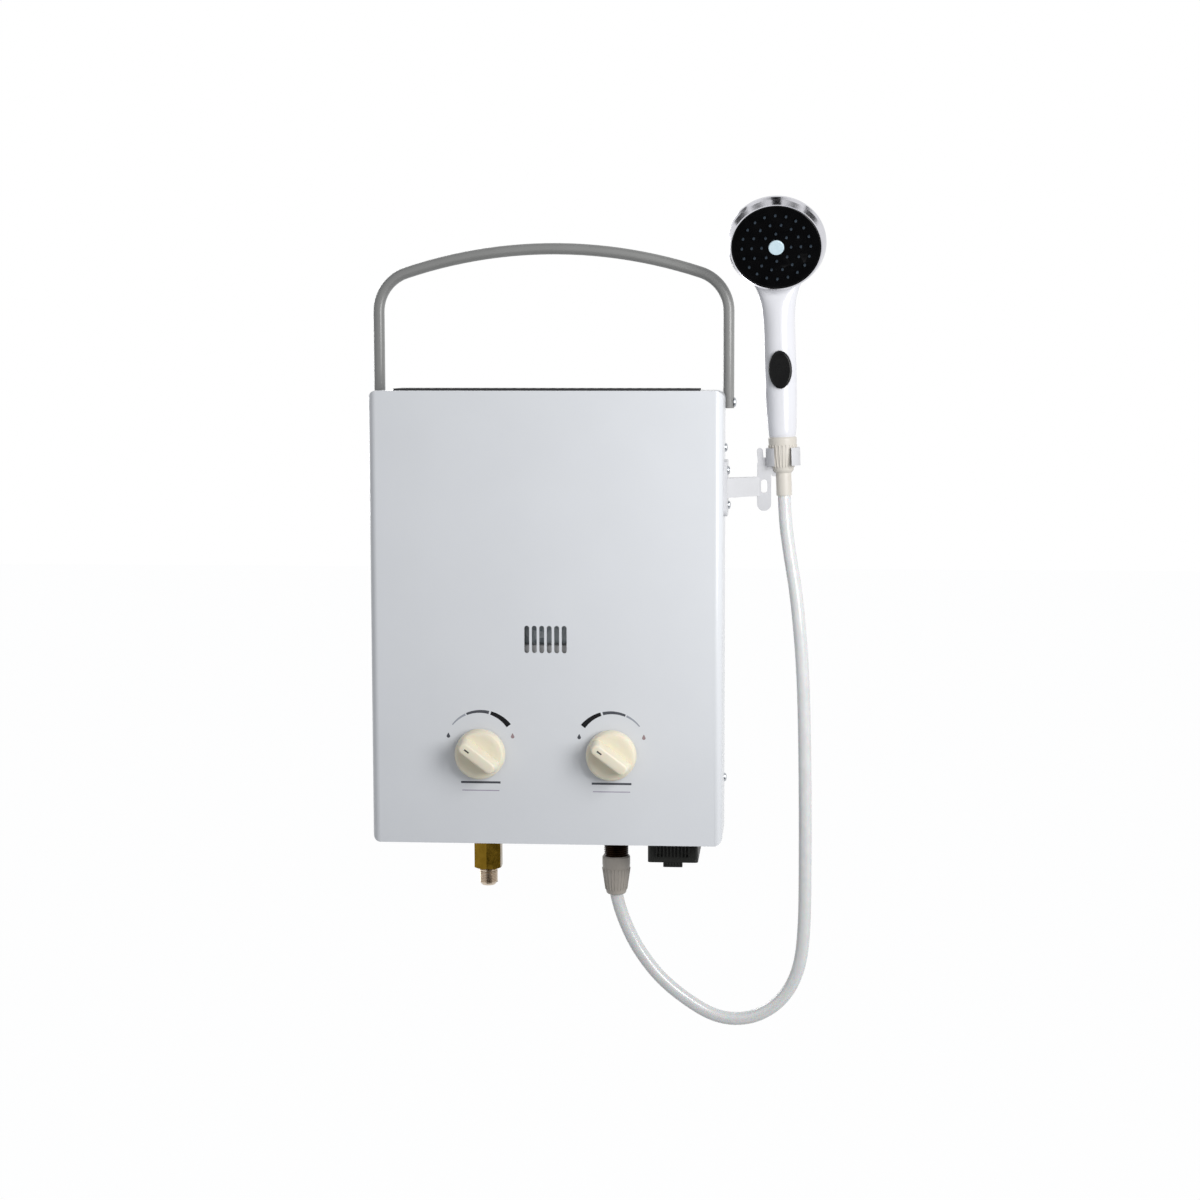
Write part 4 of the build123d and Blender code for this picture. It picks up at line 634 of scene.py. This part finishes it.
def knob(name, node, body):
    """One knob, modelled facing +Z and then stood on the front of the case."""
    base = turned([(0, 0), (KNOB_RADIUS - 0.6, 0), (KNOB_RADIUS, 0.8), (KNOB_RADIUS - 0.3, 5.2),
                   (KNOB_RADIUS - 0.9, 7.2), (KNOB_RADIUS - 2.2, 8.6), (KNOB_RADIUS - 4.4, 9.2),
                   (KNOB_RADIUS - 6.5, 8.9), (0, 8.6)], steps=128)
    bar = bmesh.new()
    brick(bar, *GRIP_BAR)
    bmesh.ops.translate(bar, vec=(0, 0, (KNOB_DEEP - GRIP_BAR[2] / 2) * MM), verts=bar.verts)
    upright = [e for e in bar.edges if abs(e.verts[0].co.z - e.verts[1].co.z) > 10 * MM]
    round_over(bar, upright, 5.2, 8)
    top = [v for v in bar.verts if v.co.z > (KNOB_DEEP - 1) * MM]
    bmesh.ops.scale(bar, vec=BAR_DRAFT, verts=top)
    rim = [e for e in sharp_edges(bar, 40) if all(v in top for v in e.verts)]
    round_over(bar, rim, 1.8, 4)
    shape = combine(base, bar)
    bore = bmesh.new()
    bmesh.ops.create_cone(bore, cap_ends=True, segments=48, radius1=STEM_BORE * MM,
                          radius2=STEM_BORE * MM, depth=KNOB_DEEP * MM)
    shape = combine(shape, bore, "DIFFERENCE")
    centre, back = middle(node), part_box(node)[1].y
    facing = (Matrix.Translation((centre.x, back, centre.z))
              @ Matrix.Rotation(math.radians(90), 4, "X") @ Matrix.Rotation(POINTER, 4, "Z"))
    move(shape, facing)
    make_piece(shape, name, "knob_plastic", body, [node], smooth=30)
    # The pointer notch is a thin dark plate on the bar's top, painted shade in place of a recess.
    notch = bmesh.new()
    brick(notch, *NOTCH)
    soften(notch, 0.08, segments=2)
    bmesh.ops.translate(notch, vec=(10.0 * MM, 0, (KNOB_DEEP - 0.05) * MM), verts=notch.verts)
    move(notch, facing)
    make_piece(notch, name + "_pointer", "painted_notch_shade", body)


knob("gas_knob_moulding", "gas_knob", "gas_control")
knob("water_knob_moulding", "water_knob", "water_control")

# %% [markdown]
# ## Printed scales
# Screen printing lays down ink a few hundredths of a millimetre thick. Over each knob an arc in
# three lengths grows from a fine grey line to a thick black one, and small marks stand at its
# ends. Two plain rules below take the place of a label. A flat strip spun about the knob's
# middle makes an arc, and a shallow extrusion gives the ink its thickness.

# %% Scales round the knobs
INK_DEEP = 0.06
INK_GAP = 0.01               # keeps the ink's back off the paint
ARC_ABOVE = 5.5              # the arcs are centred a little above the knob
ARC_RADIUS = 29.6
ARCS = [                     # name, ink, start and end in degrees, width at the start and end
    ("fine", "pale_ink", 142, 115, 1.0, 1.8),
    ("medium", "grey_ink", 113, 76, 1.9, 2.7),
    ("full", "black_ink", 73, 37, 3.0, 4.4),
]
MARK_ASIDE, MARK_UP, MARK_RADIUS = 26.8, 14.2, 1.5
RULES = [                    # height from the knob's middle, length, thickness, ink
    (-24.4, 33.0, 1.8, "grey_ink"),
    (-31.2, 31.0, 0.8, "violet_ink"),
]
INKS = {"black_ink": ("131316", "0d0d10"), "grey_ink": ("54565c", "484a50"),
        "pale_ink": ("a2a6ae", "969aa2"), "violet_ink": ("a79fb0", "9b93a4"),
        "rose_ink": ("a08c90", "94807f")}
for ink, (light, dark) in INKS.items():
    finish(ink, ink, light, dark, 0.6, patch=6, grain=0.5, lift=0.004,
           **{"Specular IOR Level": 0.2})


def print_on_case(shape, name, ink):
    """Give a flat drawing in the XY plane its ink thickness and lay it on the case's front."""
    bmesh.ops.recalc_face_normals(shape, faces=shape.faces)
    made = bmesh.ops.extrude_face_region(shape, geom=shape.faces[:])
    raised = [v for v in made["geom"] if isinstance(v, bmesh.types.BMVert)]
    bmesh.ops.translate(shape, vec=(0, 0, INK_DEEP * MM), verts=raised)
    move(shape, Matrix.Translation((0, FACE_Y - INK_GAP * MM, 0))
         @ Matrix.Rotation(math.radians(90), 4, "X"))
    make_piece(shape, name, ink, "casing")


def arc_band(shape, centre, radius, start, end, thin, thick):
    """A band along a circle that widens from thin to thick; angles are anticlockwise from +X."""
    steps = max(8, round(abs(end - start) / 3))
    inner = shape.verts.new((centre[0] * MM + (radius - thin / 2) * MM, centre[1] * MM, 0))
    outer = shape.verts.new((centre[0] * MM + (radius + thin / 2) * MM, centre[1] * MM, 0))
    edge = shape.edges.new((inner, outer))
    pivot = (centre[0] * MM, centre[1] * MM, 0)
    bmesh.ops.rotate(shape, cent=pivot, matrix=Matrix.Rotation(math.radians(start), 3, "Z"),
                     verts=[inner, outer])
    before = set(shape.verts) - {inner, outer}
    bmesh.ops.spin(shape, geom=[inner, outer, edge], cent=pivot, axis=(0, 0, 1),
                   angle=math.radians(end - start), steps=steps)
    for vert in set(shape.verts) - before:
        arm = Vector(vert.co) - Vector(pivot)
        turn = (math.degrees(math.atan2(arm.y, arm.x)) - start) / (end - start)
        width = thin + (thick - thin) * min(1.0, max(0.0, turn))
        side = 1 if arm.length > radius * MM else -1
        vert.co = Vector(pivot) + arm.normalized() * (radius + side * width / 2) * MM


# %% Both scales
def scale(name, node, flip):
    """Arc, end marks and rules for one knob; flip mirrors the arc for the right-hand knob."""
    centre = middle(node) / MM
    hub = (centre.x, centre.z + ARC_ABOVE)
    for part, ink, start, end, thin, thick in ARCS:
        band = bmesh.new()
        if flip:
            start, end = 180 - start, 180 - end
        arc_band(band, hub, ARC_RADIUS, start, end, thin, thick)
        print_on_case(band, f"{name}_arc_{part}", ink)
    for side, ink in ((-1, "grey_ink"), (1, "rose_ink")):
        drop = bmesh.new()
        bmesh.ops.create_circle(drop, cap_ends=True, segments=24, radius=MARK_RADIUS * MM)
        for vert in drop.verts:
            vert.co.y *= 1.9 if vert.co.y > 0 else 1.0
            vert.co.x *= 1.0 - max(0.0, vert.co.y) / (4.2 * MM)
        bmesh.ops.translate(drop, vec=((centre.x + side * MARK_ASIDE) * MM,
                                       (centre.z + MARK_UP) * MM, 0), verts=drop.verts)
        print_on_case(drop, f"{name}_mark_{'left' if side < 0 else 'right'}", ink)
    for row, (up, wide, tall, ink) in enumerate(RULES):
        rule = bmesh.new()
        bmesh.ops.create_grid(rule, x_segments=1, y_segments=1, size=0.5,
                              matrix=Matrix.Diagonal((wide * MM, tall * MM, 1, 1)))
        bmesh.ops.translate(rule, vec=(centre.x * MM, (centre.z + up) * MM, 0),
                            verts=rule.verts)
        print_on_case(rule, f"{name}_rule_{row}", ink)


scale("gas_scale", "gas_knob", False)
scale("water_scale", "water_knob", True)

# %% [markdown]
# ## Hand shower shell
# The grip is a gently swollen tube that sweeps forward into the round head. A loft suits it:
# elliptical sections are placed along the way, each set by a point on the front line, a point on
# the back line and a half width, neighbouring sections are bridged, and a Subdivision Surface
# smooths the skin. The sections fan out round the back of the head, so that none crosses the next.

# %% One section of the grip
grip_side = Vector((math.cos(GRIP_TILT), 0.0, math.sin(GRIP_TILT)))
grip_front = Vector((0.0, -1.0, 0.0))


def on_grip(forward, up):
    """A point of the hand shower, in mm forward of and along the grip's axis."""
    return grip_foot + (grip_front * forward + grip_axis * up) * MM


def grip_section(shape, front, back, half_width, segments=40):
    """One elliptical section between two (forward, up) points."""
    start, end = on_grip(*front), on_grip(*back)
    along = (end - start) / 2
    turn = Matrix((grip_side, along.normalized(), grip_side.cross(along.normalized())))
    place = Matrix.Translation((start + end) / 2) @ turn.transposed().to_4x4() @ Matrix.Diagonal(
        (half_width * MM, along.length, 1, 1))
    made = bmesh.ops.create_circle(shape, cap_ends=False, segments=segments, radius=1.0,
                                   matrix=place)
    return list({e for v in made["verts"] for e in v.link_edges})


# %% Loft from the neck to the head
sections = [                 # front point and back point as (forward, up), and half width
    ((10.2, 20.2), (-10.2, 20.2), 10.2), ((10.3, 28.6), (-10.3, 28.6), 10.3),
    ((11.2, 29.4), (-11.2, 29.4), 11.2), ((11.9, 33.5), (-11.9, 33.5), 11.9),
    ((12.6, 46), (-12.5, 46), 12.6), ((13.4, 66), (-13.2, 66), 13.4),
    ((13.8, 90), (-13.4, 90), 13.8), ((13.2, 112), (-13.3, 113), 13.4),
    ((12.2, 128), (-13.2, 134), 13.4), ((11.0, 139), (-12.6, 155), 15.4),
    ((9.9, 146), (-9.6, 176), 20.6), ((9.0, 149.8), (-2.6, 194), 27.6),
    ((8.3, 152.0), (8.4, 208.6), 33.6), ((7.8, 153.3), (20.5, 217.4), 37.4),
    ((7.5, 154.0), (33.4, 222.3), 39.1), ((7.3, 154.2), (41.6, 224.2), 39.4),
    ((7.0, 154.1), (42.8, 224.5), 39.4),
]
shell = bmesh.new()
loops = [grip_section(shell, *section) for section in sections]
for lower, upper in zip(loops, loops[1:]):
    bmesh.ops.bridge_loops(shell, edges=lower + upper)
bmesh.ops.holes_fill(shell, edges=[e for e in shell.edges if e.is_boundary], sides=0)
bmesh.ops.recalc_face_normals(shell, faces=shell.faces)
crease = shell.edges.layers.float.new("crease_edge")
for edge in shell.edges:
    if edge.calc_face_angle() > math.radians(60):
        edge[crease] = 1.0
form = new_object("skin", mesh_of(shell, "skin"))
smooth = form.modifiers.new("skin", "SUBSURF")
smooth.levels = smooth.render_levels = 2
shell = bmesh.new()
shell.from_mesh(evaluated_mesh(form))
bpy.data.objects.remove(form)
print("hand shower:", len(sections), "sections,", len(shell.faces), "faces")

# %% [markdown]
# The pause button slides in a pocket, which is cut a little larger than the button all round.

# %% Pocket for the pause button
BUTTON_FORWARD, BUTTON_UP = 13.8, 85.0    # middle of the pocket, on the grip's front
POCKET_HALF_WIDTH, POCKET_HALF_HEIGHT, POCKET_DEPTH = 9.8, 15.8, 14
pocket = bmesh.new()
bmesh.ops.create_cone(pocket, cap_ends=True, segments=64, radius1=MM, radius2=MM,
                      depth=POCKET_DEPTH * MM)
turn = Matrix((grip_side, grip_axis, grip_front)).transposed().to_4x4()
move(pocket, Matrix.Translation(on_grip(BUTTON_FORWARD, BUTTON_UP)) @ turn
     @ Matrix.Diagonal((POCKET_HALF_WIDTH, POCKET_HALF_HEIGHT, 1, 1)))
shell = combine(shell, pocket, "DIFFERENCE")
make_piece(shell, "hand_shower_shell", "handset_plastic", "casing", ["handset_shell"],
           smooth=40)

# %% [markdown]
# ## Hose nuts
# Both nuts are nylon mouldings with fine ribs for the fingers. The outlet nut tapers down to the
# hose. The hand shower's nut has a slim neck, then the same taper. Ribs are slim bevelled bars
# set round the taper and joined to it.

# %% A ribbed nut
NUT_RIBS = 24
RIB = (0.9, 0.9, 19.0)
RIB_LEAN = math.atan2(2.9, 20.0)    # the taper's slope


def hose_nut(name, node, matrix, slot, neck, top):
    """A ribbed tapered nut; matrix places the taper's small end, in mm neck below and top above."""
    start = [(5.6, -neck), (6.4, -neck), (6.5, -neck + 0.8), (6.5, -1.2), (7.2, -0.4)] if neck \
        else [(3.6, 0), (7.6, 0)]
    shape = turned([*start, (8.3, 0.7), (8.6, 1.6), (11.2, 17.0), (11.75, 24.6), (11.9, 25.4),
                    (11.9, top - 1.2), (11.4, top - 0.4), (10.9, top), (10.56, top), (10.56, 17.6),
                    (3.6, 17.6), (3.6, start[0][1]), start[0]], steps=96)
    for number in range(NUT_RIBS):
        rib = bmesh.new()
        brick(rib, *RIB)
        soften(rib, 0.25, segments=1)
        spoke = Matrix.Rotation(2 * math.pi * number / NUT_RIBS, 4, "Z")
        move(rib, spoke @ Matrix.Translation((10.42 * MM, 0, 13.0 * MM))
             @ Matrix.Rotation(RIB_LEAN, 4, "Y"))
        add_shell(shape, rib)
    move(shape, matrix)
    return make_piece(shape, name, slot, "casing", [node], smooth=30)


# %% Both nuts, and the hose between them
outlet = middle("outlet_hose_nut")
outlet.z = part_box("outlet_hose_nut")[0].z
outlet_nut = hose_nut("outlet_nut_ribbed", "outlet_hose_nut", Matrix.Translation(outlet),
                      "nut_grey", neck=0.0, top=33.0)
grip_place = Matrix.Translation(grip_foot) @ Matrix.Rotation(-GRIP_TILT, 4, "Y")
handset_nut = hose_nut("handset_nut_ribbed", "handset_hose_nut", grip_place,
                       "nut_beige", neck=FERRULE / MM, top=29.0)

# %% [markdown]
# ## Gas union and nipple
# The gas union is turned from hexagon brass, so its corners are cut back by a shallow cone at
# each end. The plated nipple below carries a fine flare thread. A thread is a small triangle
# spun round the axis while it moves down, one pitch for each turn.

# %% Threads and hexagons
def thread(shape, radius, depth, pitch, low, high):
    """A helical ridge of the given outer radius between two heights, in mm."""
    turns = (high - low - pitch) / pitch
    corners = [(radius - depth - 0.2, 0.0), (radius, 0.45 * pitch), (radius, 0.55 * pitch),
               (radius - depth - 0.2, pitch)]
    tooth = [shape.verts.new((r * MM, 0, (low + z) * MM)) for r, z in corners]
    face = shape.faces.new(tooth)
    steps = round(36 * turns)
    bmesh.ops.spin(shape, geom=tooth + list(face.edges) + [face], cent=(0, 0, 0),
                   axis=(0, 0, 1), dvec=(0, 0, turns * pitch * MM / steps),
                   angle=2 * math.pi * turns, steps=steps)


def hexagon(flat, low, high, corner_cut=1.1):
    """Hexagon bar with its corners cut back at both ends; flat is half the width across flats."""
    across = flat / math.cos(math.radians(30))
    shape = bmesh.new()
    bmesh.ops.create_cone(shape, cap_ends=True, segments=6, radius1=across * MM,
                          radius2=across * MM, depth=(high - low) * MM,
                          matrix=Matrix.Translation((0, 0, (low + high) / 2 * MM)))
    cone = turned([(0, low - 0.01), (flat - 0.3, low - 0.01), (across + 0.3, low + corner_cut),
                   (across + 0.3, high - corner_cut), (flat - 0.3, high + 0.01),
                   (0, high + 0.01)], steps=72)
    return combine(shape, cone, "INTERSECT")


# %% Gas union
gas_axis = middle("gas_inlet_union")
gas_place = Matrix.Translation((gas_axis.x, gas_axis.y, 0))
HEX_LOW, UNION_TOP = (corner.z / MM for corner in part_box("gas_inlet_union"))
HEX_TOP = -196.0             # mm, in the frame, like the other two
HEX_FLAT = 11.2              # half the width across flats
GAS_BORE = 4.0               # radius
body = hexagon(HEX_FLAT, HEX_LOW, HEX_TOP)
neck = turned([(0, HEX_LOW + 1), (9.0, HEX_LOW + 1), (9.0, UNION_TOP - 0.5), (8.5, UNION_TOP),
               (0, UNION_TOP)], steps=64)
body = combine(body, neck)
bore = turned([(0, HEX_LOW - 1), (GAS_BORE, HEX_LOW - 1), (GAS_BORE, UNION_TOP + 1),
               (0, UNION_TOP + 1)], steps=40)
body = combine(body, bore, "DIFFERENCE")
move(body, gas_place)
make_piece(body, "gas_union_hexagon", "gas_brass", "casing", ["gas_inlet_union"], smooth=30)

# %% Flare nipple
nipple_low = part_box("gas_flare_nipple")[0].z / MM
nipple = turned([(GAS_BORE, nipple_low), (5.6, nipple_low), (7.2, nipple_low + 1.9),
                 (7.2, HEX_LOW - 1.6), (6.7, HEX_LOW - 1.2), (6.7, HEX_LOW), (GAS_BORE, HEX_LOW),
                 (GAS_BORE, nipple_low)], steps=72)
thread(nipple, radius=7.9, depth=0.75, pitch=1.4, low=nipple_low + 1.6, high=HEX_LOW - 1.4)
move(nipple, gas_place)
make_piece(nipple, "gas_nipple_threaded", "nickel_plate", "casing", ["gas_flare_nipple"],
           smooth=25)

# %% [markdown]
# ## Screws
# Pan-head screws hold the cover, the shower holder and the bail. Their domed heads are forged,
# and a punch leaves the cross recess. The same two steps work here: the head and its shank are
# turned in one profile, and two crossed bars are cut out of the head. The CAD model tells where
# each screw sits, because every screw is a separate island of its mesh.

# %% Where the screws sit
def islands(node):
    """Box of every separate solid in a CAD part."""
    shape = bmesh.new()
    shape.from_mesh(nodes[node].data)
    bmesh.ops.remove_doubles(shape, verts=shape.verts, dist=SAME_POINT)
    waiting, boxes = set(shape.verts), []
    while waiting:
        edge_of_fill, found = [waiting.pop()], []
        while edge_of_fill:
            vert = edge_of_fill.pop()
            found.append(vert.co.copy())
            for edge in vert.link_edges:
                other = edge.other_vert(vert)
                if other in waiting:
                    waiting.remove(other)
                    edge_of_fill.append(other)
        boxes.append((Vector(map(min, zip(*found))), Vector(map(max, zip(*found)))))
    shape.free()
    return sorted(boxes, key=lambda box: tuple(box[0]))


# %% Screws
def side_screws(name, node, head, tall, shank):
    """Pan-head screws on the side walls: head radius, head height and shank radius in mm."""
    together = bmesh.new()
    for number, (low, high) in enumerate(islands(node)):
        outward = 1 if (low + high).x > 0 else -1
        length = (high.x - low.x) / MM - tall
        screw = turned([(0, -length), (shank * 0.55, -length), (shank, -length + 2.0),
                        (shank, 0), (head, 0), (head, 0.25 * tall), (head * 0.93, 0.6 * tall),
                        (head * 0.72, 0.88 * tall), (head * 0.4, tall), (0, tall)], steps=40)
        for turn in (25 + 40 * number, 115 + 40 * number):
            bar = bmesh.new()
            brick(bar, head * 1.15, head * 0.26, tall * 1.2)
            lower = [v for v in bar.verts if v.co.z < 0]
            bmesh.ops.scale(bar, vec=(0.5, 0.8, 1.0), verts=lower)
            move(bar, Matrix.Rotation(math.radians(turn), 4, "Z")
                 @ Matrix.Translation((0, 0, tall * MM)))
            screw = combine(screw, bar, "DIFFERENCE")
        seat = Vector((high.x - tall * MM if outward > 0 else low.x + tall * MM,
                       (low.y + high.y) / 2, (low.z + high.z) / 2))
        move(screw, Matrix.Translation(seat)
             @ Matrix.Rotation(math.radians(90 * outward), 4, "Y"))
        add_shell(together, screw)
    make_piece(together, name, "zinc_screws", "casing", [node], smooth=30)


side_screws("cover_and_holder_screws", "panel_screws", head=3.6, tall=2.0, shank=1.7)
side_screws("bail_screws", "bail_pivot_screws", head=4.0, tall=1.8, shank=2.5)

# %% [markdown]
# ## Threads of the water fittings
# Half-inch pipe threads are cut on both water fittings. The hot one hides in its hose nut, the
# cold one is bare below the case. Each fitting is turned again here with its flange, and the
# thread is wound on to a slightly thinner barrel.

# %% Water fittings
SHELF = -183.5               # mm, underside of the shelf that carries both


def water_fitting(name, node, slot):
    """A turned fitting with neck, flange, shoulder and pipe thread, on the CAD part's axis."""
    low, high = (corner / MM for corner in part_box(node))
    shape = turned([(5.0, low.z), (8.6, low.z), (9.4, low.z + 1.0), (9.4, SHELF - 1.6),
                    (9.9, SHELF - 1.2), (9.9, SHELF), (11.2, SHELF), (11.2, SHELF + 1.0),
                    (13.6, SHELF + 1.0), (14.0, SHELF + 1.4), (14.0, SHELF + 4.6),
                    (13.6, SHELF + 5.0), (8.0, SHELF + 5.0), (8.0, high.z), (5.0, high.z),
                    (5.0, low.z)], steps=72)
    thread(shape, radius=10.45, depth=1.0, pitch=1.81, low=low.z + 0.4, high=SHELF - 1.2)
    bmesh.ops.translate(shape, vec=((low.x + high.x) / 2 * MM, (low.y + high.y) / 2 * MM, 0),
                        verts=shape.verts)
    make_piece(shape, name, slot, "casing", [node], smooth=30)


# the hot fitting wears painted shade, a dark brown for brass in the shade of its nut
water_fitting("hot_fitting_threaded", "hot_outlet_fitting", "dark_fitting")
water_fitting("cold_fitting_threaded", "cold_inlet_fitting", "brass_body")

# %% [markdown]
# ## Ribs on the battery box
# A thin plastic wall is stiffened by ribs, and they give the fingers a hold on the door. They are
# slim bars with rounded edges that stand half a millimetre proud.

# %% Ribs
def ribs(name, body, first, step, count, size):
    """A row of equal upright bars, step apart from first on; all measures in mm."""
    row = bmesh.new()
    for number in range(count):
        bmesh.ops.translate(row, vec=(Vector(first) + Vector((step, 0, 0)) * number) * MM,
                            verts=brick(row, *size))
    soften(row, 0.22, segments=2)
    make_piece(row, name, "battery_plastic", body, smooth=30)


box_low, box_high = (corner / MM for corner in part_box("battery_box"))
door_low, door_high = (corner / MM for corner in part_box("battery_door"))
box_middle = (box_low.x + box_high.x) / 2
ribs("battery_box_ribs", "casing", (box_middle - 13.5, box_low.y + 0.2, door_high.z + 3.5),
     step=3.0, count=10, size=(1.1, 1.2, 10.0))
ribs("battery_door_grip", "door", (box_middle - 7.5, door_low.y + 0.1, door_low.z + 2.2),
     step=2.5, count=7, size=(1.0, 0.8, 3.2))

# %% [markdown]
# ## Springs
# A compression spring is wound from wire, here a helix with a round section. The coil fills the
# room of the CAD spring and rides on no body.

# %% Springs
STEPS_PER_TURN = 36


def wound_spring(name, node, axis, wire, turns, moving_end):
    """A helix in the room of a CAD part: axis 0 to 2, wire radius in mm, moving_end 1 or -1."""
    low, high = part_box(node)
    across = 1 if axis != 1 else 0
    other = 3 - axis - across
    radius = (high[across] - low[across]) / 2 - wire * MM
    first, last = low[axis] + wire * MM, high[axis] - wire * MM
    line = bpy.data.curves.new("helix", "CURVE")
    line.dimensions = "3D"
    line.bevel_depth = 1.0
    line.bevel_resolution = 3
    line.use_fill_caps = True
    helix = line.splines.new("POLY")
    steps = STEPS_PER_TURN * turns
    helix.points.add(steps)
    for step, point in enumerate(helix.points):
        angle = 2 * math.pi * turns * step / steps
        place = (low + high) / 2
        place[axis] = first + (last - first) * step / steps
        place[across] += radius * math.cos(angle)
        place[other] += radius * math.sin(angle)
        point.co = (*place, 1.0)
        point.radius = wire * MM
    coil = new_object("helix", line)
    shape = bmesh.new()
    shape.from_mesh(evaluated_mesh(coil))
    bpy.data.objects.remove(coil)
    piece = make_piece(shape, name, "spring_steel", None, [node], smooth=60)
    fixed, moved = (low + high) / 2, (low + high) / 2
    fixed[axis], moved[axis] = (low[axis], high[axis])[::moving_end]
    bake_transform(piece)


wound_spring("return_spring_wound", "return_spring", axis=0, wire=0.7, turns=6,
             moving_end=1)
wound_spring("button_spring_wound", "button_spring", axis=1, wire=0.3, turns=2,
             moving_end=-1)
